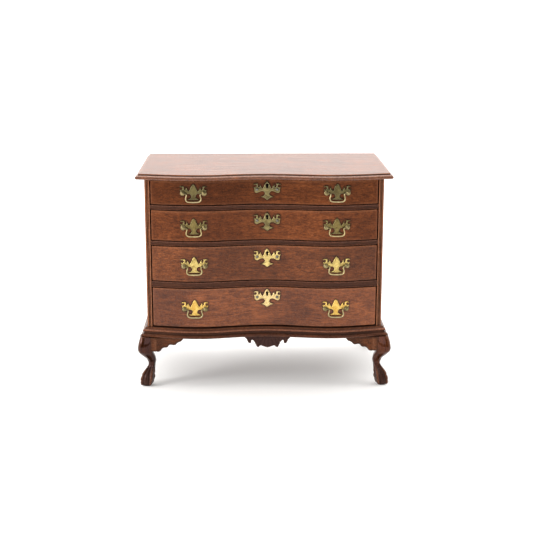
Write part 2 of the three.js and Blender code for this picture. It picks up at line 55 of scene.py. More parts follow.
def span(node):
    """A CAD node's box in millimetres: (x0, y0, z0), (x1, y1, z1)."""
    low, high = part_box(node)
    return [v / MM for v in low], [v / MM for v in high]


# ---------- the oxbow and the main lines ----------
SWELL = 2.75         # how far each swelling of the front stands forward of the middle
SWELL_PITCH = 45.0   # between the crests of the two swellings
CORNER_FALL = 0.8    # how far the ends of the front fall back
TOP_LOW, TOP_HIGH = span("top_board")
CORNER_AT = TOP_HIGH[0]
CASE_HALF = span("side_right")[1][0]
CASE_INNER = span("side_right")[0][0]
CASE_BACK = span("back_panel")[1][1]


def bow(x):
    """How far the front stands forward of its hollow middle, at x."""
    wave = SWELL * (1 - math.cos(2 * math.pi * x / SWELL_PITCH)) / 2
    return wave - CORNER_FALL * (x / CORNER_AT) ** 4


CREST = max(bow(0.1 * i) for i in range(400))
TOP_FRONT = TOP_LOW[1] + CREST
CASE_FRONT = span("bottom_board")[0][1] + CREST
DRAWERS = ("drawer_1", "drawer_2", "drawer_3", "drawer_4")


# ---------- materials ----------
class Nodes:
    """Short hand for building the node tree of a material or a world."""

    def __init__(self, owner, output="OutputMaterial"):
        owner.use_nodes = True
        self.owner = owner
        self.tree = owner.node_tree
        self.tree.nodes.clear()
        self.out = self.add(output)

    def add(self, kind, inputs=None, **settings):
        node = self.tree.nodes.new("ShaderNode" + kind)
        for name, value in settings.items():
            setattr(node, name, value)
        for name, value in (inputs or {}).items():
            self.feed(node.inputs[name], value)
        return node

    def link(self, source, target):
        self.tree.links.new(source, target)

    def feed(self, socket, value):
        if isinstance(value, bpy.types.NodeSocket):
            self.link(value, socket)
        else:
            socket.default_value = value

    def math(self, operation, a, b=0.0, c=0.0, clamp=False):
        node = self.add("Math", operation=operation, use_clamp=clamp)
        for socket, value in zip(node.inputs, (a, b, c)):
            self.feed(socket, value)
        return node.outputs[0]

    def mix(self, factor, a, b, blend="MIX"):
        node = self.add("Mix", data_type="RGBA", blend_type=blend)
        self.feed(node.inputs[0], factor)
        self.feed(node.inputs[6], a)
        self.feed(node.inputs[7], b)
        return node.outputs[2]

    def step(self, value, low, high, to_low=0.0, to_high=1.0):
        node = self.add("MapRange", interpolation_type="SMOOTHSTEP")
        for socket, v in zip(node.inputs, (value, low, high, to_low, to_high)):
            self.feed(socket, v)
        return node.outputs[0]

    def noise(self, vector, scale, detail=4.0, rough=0.55, distortion=0.0):
        shape = {"Detail": detail, "Roughness": rough, "Distortion": distortion}
        return self.add("TexNoise", {"Vector": vector, "Scale": scale, **shape}).outputs[0]

    def coords(self, offset, stretch):
        """Object coordinates in millimetres, moved by offset and squeezed by stretch."""
        vector = self.add("TexCoord").outputs["Object"]
        scale = [s / MM for s in stretch]
        mapping = self.add("Mapping", {"Vector": vector, "Location": offset, "Scale": scale})
        return mapping.outputs[0]

    def attribute(self, name):
        return self.add("Attribute", attribute_name=name).outputs["Fac"]

    def bump(self, height, distance, strength, normal=None):
        inputs = {"Strength": strength, "Distance": distance * MM, "Height": height}
        if normal is not None:
            inputs["Normal"] = normal
        return self.add("Bump", inputs).outputs[0]

    def surface(self, inputs):
        """One Principled shader with the given inputs; gives back the finished material."""
        self.link(self.add("BsdfPrincipled", inputs).outputs[0], self.out.inputs[0])
        return self.owner


def rgb(r, g, b):
    return (r, g, b, 1.0)


AXIS_STRETCH = {
    "X": lambda along, across: (along, across, across),
    "Y": lambda along, across: (across, along, across),
    "Z": lambda along, across: (across, across, along)
}


def wood(
    name, grain="X", seed=0.0, dark=(0.090, 0.0205, 0.0060), mid=(0.215, 0.056, 0.0145),
    light=(0.370, 0.105, 0.029), worn_and_highlight=(0.42, 0.17, 0.085), grime_and_shade=(0.020, 0.008, 0.004), shade=1.0,
    blotch=0.24, rough=(0.20, 0.32), tint=(1.0, 0.80, 0.66), pore=0.42, coat=0.0
):
    """Stained and varnished mahogany, with figure, pores, blotches, rubbed arrises and grime; on some
    pieces the wear mark also paints highlights, the grime mark paints the shade in gaps, grooves and
    hollows, and the figure mark paints light on the slopes of the drawer fronts.
    """
    n = Nodes(bpy.data.materials.new(name))
    stretch = AXIS_STRETCH[grain]
    offset = (seed * 13.7, seed * 7.9, seed * 5.3)
    plain = n.coords(offset, (1, 1, 1))
    broad = n.noise(n.coords(offset, stretch(0.045, 0.85)), 1.0, 6.0, 0.66, 0.9)
    lines = n.noise(n.coords(offset, stretch(0.13, 2.5)), 1.0, 5.0, 0.70, 0.25)
    pores = n.noise(n.coords(offset, stretch(0.50, 5.5)), 1.0, 4.0, 0.65, 0.1)
    cloud = n.noise(n.coords(offset, stretch(0.07, 0.16)), 1.0, 3.0, 0.55, 1.2)
    ripple = n.noise(n.coords(offset, stretch(0.55, 0.10)), 1.0, 3.0, 0.5, 0.8)
    speck = n.noise(plain, 2.6, 4.0, 0.7)

    tone = n.math("MULTIPLY_ADD", n.step(broad, 0.25, 0.76), 0.40, 0.0)
    tone = n.math("MULTIPLY_ADD", n.step(lines, 0.30, 0.70), 0.48, tone)
    tone = n.math("MULTIPLY_ADD", n.step(ripple, 0.28, 0.74), 0.12, tone)
    ramp = n.add("ValToRGB")
    stops = ramp.color_ramp.elements
    stops[0].position, stops[0].color = 0.15, rgb(*dark)
    stops[1].position, stops[1].color = 0.88, rgb(*light)
    middle = stops.new(0.50)
    middle.color = rgb(*mid)
    n.link(tone, ramp.inputs[0])
    colour = ramp.outputs[0]

    depth = n.step(cloud, 0.28, 0.70, 1.0 - blotch, 1.0 + 0.35 * blotch)
    # The figure mark lightens or darkens the stain: painted light where a drawer front slopes towards
    # the left lamp, with the wood's own figure.
    depth = n.math("MULTIPLY", depth, n.math("ADD", 1.0, n.attribute("figure_and_light")))
    stain = n.add("CombineColor")
    for socket, power in zip(stain.inputs, (1.0, 1.15, 1.25)):
        n.link(n.math("MULTIPLY", n.math("POWER", depth, power), shade), socket)
    colour = n.mix(1.0, colour, stain.outputs[0], "MULTIPLY")
    dark_pore = n.step(pores, 0.36, 0.56, pore, 1.06)
    pore_tint = n.add("CombineColor")
    for socket in pore_tint.inputs[:3]:
        n.link(dark_pore, socket)
    colour = n.mix(1.0, colour, pore_tint.outputs[0], "MULTIPLY")

    # The wear mark lightens rubbed arrises, and on some beads and noses also paints a highlight where
    # they catch the light.
    wear_and_highlight = n.math("MULTIPLY", n.attribute("wear_and_highlight"), n.step(speck, 0.30, 0.62, 0.25, 1.0))
    colour = n.mix(wear_and_highlight, colour, rgb(*worn_and_highlight))
    # The grime mark darkens dirty places, and in gaps, grooves and hollows also paints the shade that
    # falls there.
    dirt_and_shade = n.math("MULTIPLY", n.attribute("grime_and_shade"), n.step(speck, 0.25, 0.60, 0.65, 1.0))
    colour = n.mix(dirt_and_shade, colour, rgb(*grime_and_shade))

    roughness = n.step(speck, 0.25, 0.75, *rough)
    roughness = n.math("MULTIPLY_ADD", dirt_and_shade, 0.25, roughness, clamp=True)
    waves = n.noise(n.coords(offset, stretch(0.10, 0.35)), 1.0, 2.0, 0.5)
    bumped = n.bump(waves, 0.20, 0.30)
    bumped = n.bump(pores, 0.02, 0.35, bumped)
    bumped = n.bump(speck, 0.03, 0.15, bumped)
    return n.surface({
        "Base Color": colour, "Roughness": roughness, "IOR": 1.42, "Specular Tint": rgb(*tint),
        "Coat Weight": coat, "Coat Roughness": 0.08, "Normal": bumped,
    })


def brass(name, seed, bright, dull, rough=(0.22, 0.40)):
    """Cast brass, its lacquer thinned by use: brighter on high spots, brown in the hollows; where the
    wear mark is set it also paints a highlight, and where the grime mark is set it also paints shade.
    """
    n = Nodes(bpy.data.materials.new(name))
    offset = (seed * 3.1, seed * 4.7, seed * 2.3)
    fine = n.noise(n.coords(offset, (3.2, 3.2, 3.2)), 1.0, 5.0, 0.65)
    patch = n.noise(n.coords(offset, (0.55, 0.55, 0.55)), 1.0, 4.0, 0.6, 0.6)
    tarnish_and_shade = rgb(dull[0] * 0.25, dull[1] * 0.22, dull[2] * 0.25)
    shine = rgb(*(min(1.0, 1.2 * c + 0.08) for c in bright))
    colour = n.mix(n.step(patch, 0.34, 0.64), rgb(*dull), rgb(*bright))
    colour = n.mix(n.step(fine, 0.52, 0.74, 0.0, 0.5), colour, tarnish_and_shade)
    colour = n.mix(n.math("MULTIPLY", n.attribute("wear_and_highlight"), 0.7), colour, shine)
    colour = n.mix(n.math("MULTIPLY", n.attribute("grime_and_shade"), 0.9), colour, tarnish_and_shade)
    roughness = n.step(patch, 0.25, 0.75, *rough)
    bumped = n.bump(fine, 0.03, 0.5, n.bump(patch, 0.10, 0.4))
    return n.surface(
        {"Base Color": colour, "Metallic": 1.0, "Roughness": roughness, "Normal": bumped}
    )


def keyhole_dark():
    """The unlit inside of a lock."""
    n = Nodes(bpy.data.materials.new("keyhole_dark"))
    grain = n.noise(n.coords((0, 0, 0), (4, 4, 4)), 1.0)
    colour = n.mix(grain, rgb(0.002, 0.0015, 0.001), rgb(0.006, 0.004, 0.003))
    return n.surface({"Base Color": colour, "Roughness": 0.8, "IOR": 1.1})


def bare_wood(name, grain="Y", seed=0.0, tone=1.0):
    """Unvarnished secondary wood, as inside a drawer and on the back."""
    return wood(
        name, grain, seed, dark=(0.16 * tone, 0.085 * tone, 0.040 * tone),
        mid=(0.30 * tone, 0.175 * tone, 0.090 * tone),
        light=(0.44 * tone, 0.285 * tone, 0.160 * tone), worn_and_highlight=(0.50, 0.36, 0.22),
        grime_and_shade=(0.06, 0.035, 0.02), blotch=0.25, rough=(0.55, 0.78), tint=(1.0, 0.85, 0.7),
        pore=0.78
    )


top_wood = wood("top_wood", "X", 1.0, shade=1.08, blotch=0.4, rough=(0.13, 0.27))
# The nose and underside of the top; its pale worn colour also paints the highlight along the nose.
edge_wood = wood("edge_wood", "X", 1.6, shade=0.66, tint=(1.0, 0.9, 0.85), worn_and_highlight=(0.58, 0.36, 0.28))
case_wood = wood("case_wood", "Z", 2.0, shade=0.75)
rail_wood = wood(
    "rail_wood", "X", 3.0, shade=0.24, blotch=0.4, tint=(1.0, 0.58, 0.48), worn_and_highlight=(0.20, 0.09, 0.06)
)
base_wood = wood(
    "base_wood", "X", 3.7, shade=0.32, blotch=0.55, tint=(1.0, 0.62, 0.52), worn_and_highlight=(0.32, 0.13, 0.075)
)
# The right leg is painted lighter than the left, partly lighter wood and partly painted light where it
# faces the left lamp.
LEG_TONE_AND_LIGHT = {-1: 0.115, 1: 0.27}
leg_woods = {
    side: wood(
        "leg_wood_left" if side < 0 else "leg_wood_right", "Z", 4.0 + side, shade=shade, blotch=0.5,
        rough=(0.08, 0.18), tint=(1.0, 0.52, 0.48), coat=0.06
    )
    for side, shade in LEG_TONE_AND_LIGHT.items()
}
bracket_wood = wood("bracket_wood", "X", 4.6, shade=0.42, blotch=0.5, tint=(1.0, 0.6, 0.45))
drop_wood = wood("drop_wood", "X", 5.2, shade=0.17, rough=(0.3, 0.5), tint=(1.0, 0.68, 0.70))
# Each drawer front is its own plank: how light it is, the upper fronts darker partly as painted shade,
# its varnish tint, which per drawer also sets how much of the pale floor the front reflects, as a
# painted reflection, and how light its pores are.
FRONT_FINISH_AND_PAINTED_LIGHT = [
    (0.45, (1.0, 0.44, 0.28), 0.38), (0.61, (1.0, 0.52, 0.38), 0.38),
    (0.64, (1.0, 0.72, 0.62), 0.42), (0.84, (1.0, 0.90, 0.86), 0.60),
]
front_woods = [
    wood("front_wood_%d" % (i + 1), "X", 6.0 + 1.37 * i, shade=shade, tint=tint, pore=pore)
    for i, (shade, tint, pore) in enumerate(FRONT_FINISH_AND_PAINTED_LIGHT)
]
lining_wood = bare_wood("lining_wood", "Y", 8.0)
lining_cross = bare_wood("lining_cross", "X", 8.6, 0.9)
back_wood = bare_wood("back_wood", "X", 9.1, 0.66)
# Brass per drawer, bright and dull: plates on the upper drawers are painted dark olive and on the lower
# drawers bright gold, a painted reflection of farther and nearer floor.
HANDLE_REFLECTION_TONES = [
    ((0.155, 0.125, 0.052), (0.085, 0.066, 0.028)), ((0.21, 0.160, 0.058), (0.110, 0.080, 0.028)),
    ((0.66, 0.50, 0.17), (0.30, 0.21, 0.065)), ((0.78, 0.53, 0.15), (0.52, 0.31, 0.065)),
]
KEYPLATE_REFLECTION_TONES = [
    ((0.24, 0.195, 0.085), (0.10, 0.080, 0.036)), ((0.26, 0.210, 0.088), (0.11, 0.086, 0.036)),
    ((0.74, 0.57, 0.22), (0.38, 0.27, 0.090)), ((0.76, 0.58, 0.27), (0.46, 0.32, 0.120)),
]
BAIL_TONES = [
    ((0.50, 0.40, 0.21), (0.26, 0.205, 0.095)), ((0.48, 0.38, 0.18), (0.25, 0.195, 0.080)),
    ((0.50, 0.41, 0.20), (0.26, 0.21, 0.09)), ((0.44, 0.37, 0.19), (0.24, 0.19, 0.085)),
]
plates = [brass("plate_brass_%d" % (i + 1), 1.0 + i, *t) for i, t in enumerate(HANDLE_REFLECTION_TONES)]
keyplates = [brass("key_brass_%d" % (i + 1), 3.4 + i, *t) for i, t in enumerate(KEYPLATE_REFLECTION_TONES)]
bails = [
    brass("bail_brass_%d" % (i + 1), 5.0 + i, *t, rough=(0.32, 0.48))
    for i, t in enumerate(BAIL_TONES)
]
post_brass = brass("post_brass", 6.3, (0.36, 0.29, 0.14), (0.19, 0.15, 0.07), rough=(0.36, 0.52))
pin_metal = brass("pin_metal", 7.0, (0.20, 0.19, 0.15), (0.11, 0.10, 0.08), rough=(0.4, 0.55))
# Near-black: painted shade for the unlit inside of the locks.
unlit_lock_material = keyhole_dark()


# ---------- mesh helpers ----------
def piece(
    name, shape, body, material, replaces=(), wear_and_highlight=None, grime_and_shade=None, sharp=38, figure_and_light=None
):
    """A smooth-shaded mesh piece that rides on a CAD body; shape is (points in mm, faces)."""
    verts, faces = shape
    mesh = bpy.data.meshes.new(name)
    mesh.from_pydata([[c * MM for c in v] for v in verts], [], faces)
    bm = bmesh.new()
    bm.from_mesh(mesh)
    bmesh.ops.recalc_face_normals(bm, faces=bm.faces)
    bm.to_mesh(mesh)
    bm.free()
    for label, values in (("wear_and_highlight", wear_and_highlight), ("grime_and_shade", grime_and_shade), ("figure_and_light", figure_and_light)):
        layer = mesh.attributes.new(label, "FLOAT", "POINT")
        data = values if values is not None else [0.0] * len(verts)
        layer.data.foreach_set("value", np.asarray(data, np.float32))
    mesh.polygons.foreach_set("use_smooth", [True] * len(mesh.polygons))
    mesh.set_sharp_from_angle(angle=math.radians(sharp))
    obj = bpy.data.objects.new(name, mesh)
    bpy.context.scene.collection.objects.link(obj)
    mesh.materials.append(material)
    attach(obj, body)
    if replaces:
        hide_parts(*replaces)
    return obj


def loft(rings):
    """A closed body through rings of equal length, each ring closed on itself."""
    count = len(rings[0])
    verts = [p for ring in rings for p in ring]
    faces = []
    for level in range(len(rings) - 1):
        for i in range(count):
            j = (i + 1) % count
            a, b = level * count + i, level * count + j
            faces.append((a, b, b + count, a + count))
    faces.append(tuple(range(count))[::-1])
    faces.append(tuple(range((len(rings) - 1) * count, len(rings) * count)))
    return verts, faces


QUARTER = math.pi / 2


def arc(start, end, steps):
    """(cosine, sine) at even steps from one angle to another, both ends included."""
    angles = [start + (end - start) * k / steps for k in range(steps + 1)]
    return [(math.cos(a), math.sin(a)) for a in angles]


def circle(count):
    """(cosine, sine) of evenly spaced angles all round."""
    return arc(0, 2 * math.pi, count)[:-1]


def peak(value, at, width):
    """1 where value is at the middle of a rounded peak, falling to 0 on both sides."""
    return math.exp(-(((value - at) / width) ** 2))


def smooth(t):
    """Ease from 0 to 1 as t goes from 0 to 1."""
    t = min(max(t, 0.0), 1.0)
    return t * t * (3 - 2 * t)


def spline(points, steps):
    """Points along a Catmull-Rom curve through the given points of any length."""

    def between(a, b, c, d, t):
        bend = 2 * a - 5 * b + 4 * c - d
        return 0.5 * (2 * b + (c - a) * t + bend * t * t + (3 * b - a - 3 * c + d) * t**3)

    result = []
    padded = [points[0]] + list(points) + [points[-1]]
    for i in range(len(points) - 1):
        for k in range(steps):
            result.append(tuple(between(*p, k / steps) for p in zip(*padded[i : i + 4])))
    result.append(tuple(points[-1]))
    return result


def wobble(x, y, z, size, seed):
    """A small hand-made unevenness."""
    return size * noise.noise(Vector((x * 0.09 + seed, y * 0.09, z * 0.13)))


# ---------- top board ----------
def build_top():
    z1 = TOP_HIGH[2]
    z0 = TOP_LOW[2]
    # From the underside round the nose to the top: (inset, z, wear, grime). The underside darkens
    # towards the back; the quirk below the top's surface is darkened, grime and painted shade; the
    # upper part of the nose is painted lighter, wear and a painted highlight.
    profile = [
        (1.6, z0, 0.0, 0.5), (0.8, z0, 0.1, 0.3), (0.42, z0 + 0.07, 0.15, 0.1),
        (0.16, z0 + 0.24, 0.2, 0.0), (0.03, z0 + 0.46, 0.1, 0.0), (0.0, z0 + 0.70, 0.05, 0.0),
        (0.06, z0 + 0.93, 0.15, 0.0), (0.22, z0 + 1.13, 0.4, 0.0), (0.45, z0 + 1.28, 0.65, 0.0),
        (0.70, z0 + 1.37, 0.6, 0.1), (0.90, z1 - 0.47, 0.0, 0.8), (1.0, z1 - 0.46, 0.0, 1.0),
        (1.02, z1 - 0.30, 0.0, 0.8), (1.03, z1 - 0.10, 0.2, 0.3), (1.06, z1 - 0.03, 0.5, 0.0),
        (1.14, z1, 0.4, 0.0), (1.8, z1, 0.1, 0.0),
    ]
    back = TOP_HIGH[1]
    steps, side_steps = 150, 24
    rings, wear_and_highlight, grime_and_shade = [], [], []
    for inset, z, w, g in profile:
        half = CORNER_AT - inset
        ring = []
        for i in range(steps + 1):
            x = -half + 2 * half * i / steps
            y = TOP_FRONT - bow(x) + inset
            ring.append((x, y + wobble(x, 0, 0, 0.08, 3.0), z + wobble(x, y, 0, 0.05, 8.0)))
        for side in (1, -1):
            rows = range(1, side_steps + 1) if side > 0 else range(side_steps, 0, -1)
            corner = TOP_FRONT - bow(half) + inset
            for k in rows:
                y = corner + (back - corner) * k / side_steps
                ring.append((side * half, y, z + wobble(side * half, y, 0, 0.05, 8.0)))
        rings.append(ring)
        wear_and_highlight += [w] * len(ring)
        grime_and_shade += [g] * len(ring)
    shape = loft(rings)
    obj = piece("top_slab", shape, "case", top_wood, ["top_board"], wear_and_highlight, grime_and_shade, 50)
    obj.data.materials.append(edge_wood)
    level = TOP_HIGH[2] - 0.2
    for polygon in obj.data.polygons:
        if polygon.center.z < level * MM:
            polygon.material_index = 1


# ---------- boards that follow the oxbow ----------
def plate_dirt_and_shadow_halo(points, drawer):
    """Wax and dirt left on the wood close to the edges of the brass plates, and painted shadow where
    the plates' raised edges shade the wood.
    """
    outlines = []
    for part in ("plate_left", "plate_right", "escutcheon"):
        low, high = span("%s_%s" % (drawer, part))
        centre = (low[0] + high[0]) / 2
        foot = ESCUTCHEON_FOOT if part == "escutcheon" else HANDLE_FOOT
        outlines.append([(centre + u, high[2] - v) for u, v in wing_outline(foot)])
    distance = edge_distance([(x, z) for x, _, z in points], outlines)
    return 0.85 * np.exp(-((distance / 0.34) ** 2))


def bowed_board(
    name, node, levels, material, seed, body="case", corner=0.0, plank_figure_and_light=(0, 0), steps=110
):
    """A board whose front follows the oxbow, with its two front corners rounded to a radius.

    levels are (inset, z, wear, grime) from the bottom up; on some levels the wear also paints a
    highlight and the grime the shade in a gap or groove. The plank weights give how much lighter the
    wood is painted where it faces left, towards the left lamp, as painted light mixed with the wood's
    figure, and how much lighter towards its right end.
    """
    half, back, _ = span(node)[1]
    turns = 5
    rings, wear_and_highlight, grime_and_shade = [], [], []
    for inset, z, w, g in levels:
        straight = half - corner - (inset if corner else 0.0)
        left, right, turn_wear_and_highlight = [], [], []
        for k in range(1, turns + 1):
            a = (math.pi / 2) * k / turns
            x = straight + corner * math.sin(a)
            y = CASE_FRONT - bow(x) + inset + corner * (1 - math.cos(a))
            left.insert(0, (-x, y, z))
            right.append((x, y, z))
            turn_wear_and_highlight.append(max(w, 0.35 * smooth(k / turns)) if corner else w)
        front, front_wear_and_highlight = [], []
        for i in range(steps + 1):
            x = straight * (2 * i / steps - 1)
            y = CASE_FRONT - bow(x) + inset + wobble(x, 0, z, 0.05, seed)
            front.append((x, y, z + wobble(x, 3.0, 0, 0.05, seed + 4)))
            end_wear = 0.25 * (1 - smooth((straight + corner - abs(x)) / 0.7))
            front_wear_and_highlight.append(max(w, end_wear) if corner else w)
        reach = straight + corner
        rings.append(left + front + right + [(reach, back, z), (-reach, back, z)])
        wear_and_highlight += turn_wear_and_highlight[::-1] + front_wear_and_highlight + turn_wear_and_highlight + [0.0, 0.0]
        grime_and_shade += [g] * len(rings[-1])
    shape = loft(rings)
    steepest = math.pi * SWELL / SWELL_PITCH
    # Painted light: lighter where the front slopes to face the left lamp, with the wood's figure.
    figure_and_light = []
    for x, _, _ in shape[0]:
        slope = (bow(x + 0.1) - bow(x - 0.1)) / 0.2
        figure_and_light.append(plank_figure_and_light[0] * slope / steepest + plank_figure_and_light[1] * x / half)
    if body != "case":
        grime_and_shade = np.maximum(grime_and_shade, plate_dirt_and_shadow_halo(shape[0], body))
    piece(name, shape, body, material, [node], wear_and_highlight, grime_and_shade, 40, figure_and_light)


# Per drawer: how much lighter the front is painted where it slopes towards the left lamp (painted
# light; negative on the bottom drawer, where the wood's figure runs the other way), and towards its
# right end.
PLANK_FIGURE_AND_LIGHT = [(0.16, 0.28), (0.12, 0.14), (0.14, 0.0), (-0.24, 0.0)]
FRONT_ARRIS = 0.24
FRONT_GAP = 0.30
FRONT_MARGIN = 0.9


def build_fronts():
    for i, drawer in enumerate(DRAWERS):
        low, high = span(drawer + "_front")
        z0, z1 = low[2], high[2]
        turn = [(FRONT_ARRIS * (1 - s), FRONT_ARRIS * (1 - c)) for c, s in arc(0, QUARTER, 5)][1:]
        # The faces in the gaps above and below the front, and the arris beside them, are darkened as
        # grime and painted shade in the gap.
        levels = [(FRONT_GAP, z0, 0.0, 1.0)]
        for k, (inset, rise) in enumerate(turn):
            levels.append((inset, z0 + rise, 0.15, 0.9 * (1 - (k + 1) / 6)))
        levels.append((0.0, z0 + 0.5, 0.05, 0.0))
        plain = z1 - z0 - 2 * FRONT_MARGIN
        rows = round(plain / 0.3)
        for k in range(rows + 1):
            levels.append((0.0, z0 + FRONT_MARGIN + plain * k / rows, 0.0, 0.0))
        # The upper arris is painted lighter than the lower, as wear and a painted highlight where it
        # faces the light from above.
        levels.append((0.0, z1 - 0.5, 0.12, 0.0))
        levels += [(inset, z1 - rise, 0.45, 0.0) for inset, rise in reversed(turn)]
        levels.append((FRONT_GAP, z1, 0.0, 1.0))
        bowed_board(
            drawer + "_face", drawer + "_front", levels, front_woods[i],
            11.0 + 3 * i, drawer, 0.22, PLANK_FIGURE_AND_LIGHT[i], 250
        )


BEAD = 0.34
BEAD_OUT = 0.17
RAIL_SINK = 0.2


def bead_levels(z, wear_and_highlight):
    """A half-round bead along a rail, from the height z up."""
    return [(BEAD_OUT * (1 - s), z + BEAD * (1 - c) / 2, wear_and_highlight, 0.0) for c, s in arc(0, math.pi, 6)]


def build_rails():
    for i in range(3):
        node = "divider_%d" % (i + 1)
        low, high = span(node)
        z0, z1 = low[2], high[2]
        # Grime darkens the gap faces and the grooves beside the beads, dirt and painted shade; the
        # upper bead is painted lighter than the lower, wear and a painted highlight.
        levels = [(0.3, z0, 0.0, 0.9)] + bead_levels(z0, 0.30)
        levels += [(RAIL_SINK, z0 + BEAD + 0.02, 0.0, 1.0), (RAIL_SINK, z0 + BEAD + 0.14, 0.0, 0.5)]
        levels.append((RAIL_SINK, (z0 + z1) / 2, 0.05, 0.15))
        levels += [(RAIL_SINK, z1 - BEAD - 0.14, 0.0, 0.5), (RAIL_SINK, z1 - BEAD - 0.02, 0.0, 1.0)]
        levels += bead_levels(z1 - BEAD, 0.60) + [(0.3, z1, 0.0, 0.9)]
        bowed_board("rail_%d" % (i + 1), node, levels, rail_wood, 31.0 + 3 * i)
    low, high = span("bottom_board")
    # The bottom rail is darkest along its top, painted shade in the gap under the bottom drawer with
    # some grime.
    levels = [
        (0.25, low[2], 0.0, 0.8), (0.05, low[2] + 0.1, 0.2, 0.3), (0.0, low[2] + 0.4, 0.2, 0.3),
        (0.0, high[2] - 0.3, 0.2, 0.6), (0.08, high[2] - 0.08, 0.2, 1.0), (0.25, high[2], 0.0, 1.0),
    ]
    bowed_board("bottom_rail", "bottom_board", levels, rail_wood, 45.0)


def stile_section():
    """Across the front edge of a side board: (in from its outer face, back, wear, grime); the grime in
    the groove and in the gap beside the inner bead is dirt and painted shade.
    """
    width = CASE_HALF - CASE_INNER
    section = [(0.0, 3.0, 0.0, 0.0), (0.0, 0.35, 0.1, 0.0)]
    section += [(0.18 - 0.18 * c, 0.18 - 0.18 * s, 0.7, 0.0) for c, s in arc(0, QUARTER, 3)]
    section += [(0.50, 0.0, 0.1, 0.0), (0.62, 0.03, 0.3, 0.1)]
    section += [(0.66, 0.22, 0.0, 1.0), (0.74, 0.3, 0.0, 1.0), (0.82, 0.22, 0.0, 1.0)]
    section += [(1.0 - 0.13 * c, 0.16 - 0.14 * s, 0.35, 0.1) for c, s in arc(0, math.pi, 6)]
    section += [(1.17, 0.3, 0.0, 1.0), (1.22, 0.32, 0.0, 1.0)]
    bead = width - 0.22
    section += [(bead - 0.20 * c, 0.2 - 0.22 * s, 0.75, 0.0) for c, s in arc(0, math.pi, 6)]
    return section + [(width, 0.6, 0.0, 0.6), (width, 3.0, 0.0, 0.2)]


def build_sides():
    """Side boards whose front edge is worked with a groove and two beads."""
    section = stile_section()
    rows = 26
    for side, hand in ((-1, "left"), (1, "right")):
        low, high = span("side_" + hand)
        rings, wear_and_highlight, grime_and_shade = [], [], []
        for k in range(rows + 1):
            z = low[2] + (high[2] - low[2]) * k / rows
            ring = []
            for u, v, w, g in section:
                x = CASE_HALF - u
                y = CASE_FRONT - bow(x) + v
                y += wobble(side * 9, 0, z, 0.06, 51.0) if v < 1 else 0.0
                ring.append((side * (x + wobble(0, u, z, 0.03, 52.0 + side)), y, z))
                wear_and_highlight.append(w * (0.6 + 0.4 * math.sin(z * 0.7 + side) ** 2))
                grime_and_shade.append(g)
            ring += [(side * CASE_INNER, CASE_BACK, z), (side * CASE_HALF, CASE_BACK, z)]
            wear_and_highlight += [0.0, 0.3]
            grime_and_shade += [0.2, 0.0]
            rings.append(ring)
        shape = loft(rings)
        piece(
            "side_board_" + hand, shape, "case", case_wood,
            ["side_" + hand], wear_and_highlight, grime_and_shade
        )


def build_back():
    """Three boards across the back, with a fine open joint between them."""
    low, high = span("back_panel")
    edges = [low[2], low[2] + 17.4, low[2] + 35.0, high[2]]
    joint, ease, steps = 0.07, 0.15, 30
    for i in range(3):
        z0 = edges[i] + (joint if i else 0.0)
        z1 = edges[i + 1] - (joint if i < 2 else 0.0)
        rings = []
        for k in range(steps + 1):
            x = low[0] + (high[0] - low[0]) * k / steps
            y = high[1] - 0.06 - 0.05 * abs(noise.noise(Vector((x * 0.2, i * 5.0, 0))))
            lower = [(low[1], z0), (y - ease, z0), (y, z0 + ease), (y, z0 + 4 * ease)]
            upper = [(y, z1 - 4 * ease), (y, z1 - ease), (y - ease, z1), (low[1], z1)]
            rings.append([(x, back, z) for back, z in lower + upper])
        shape = loft(rings)
        piece(
            "back_board_%d" % (i + 1), shape, "case", back_wood,
            ["back_panel"] if i == 0 else [], [0.0, 0.4, 0.4, 0.0, 0.0, 0.4, 0.4, 0.0] * len(rings)
        )


# ---------- base moulding ----------
def base_profile():
    """The base moulding from its under side up: (out from the case, z, wear, grime); the grime in the
    cove is dirt and painted shade, and the wear on the upper bead is wear and a painted highlight.
    """
    low, high = span("base_moulding_front")
    z, top = low[2], high[2]
    points = [(0.05, z, 0.0, 0.6), (1.60, z, 0.1, 0.3)]
    for c, s in arc(-QUARTER, QUARTER, 8):
        points.append((1.55 + 0.5 * c, z + 0.52 + 0.52 * s, 0.10, 0.15))
    # The cove and its fillets are darkened as grime and painted shade.
    points += [
        (1.34, z + 1.10, 0.0, 0.7), (1.20, z + 1.22, 0.0, 0.9), (1.10, z + 1.45, 0.0, 0.6),
        (1.06, z + 1.72, 0.0, 0.9),
    ]
    # The upper bead's top is painted lighter, wear and a painted highlight.
    for k, (c, s) in enumerate(arc(-QUARTER, QUARTER, 6)):
        points.append((1.12 + 0.30 * c, z + 2.16 + 0.32 * s, 0.7 * smooth(k / 4), 0.0))
    return points + [
        (0.98, z + 2.56, 0.0, 0.5), (0.84, z + 2.68, 0.1, 0.3), (0.68, z + 2.86, 0.2, 0.0),
        (0.62, top - 0.08, 0.3, 0.0), (0.54, top, 0.2, 0.3), (0.05, top, 0.0, 1.0),
    ]


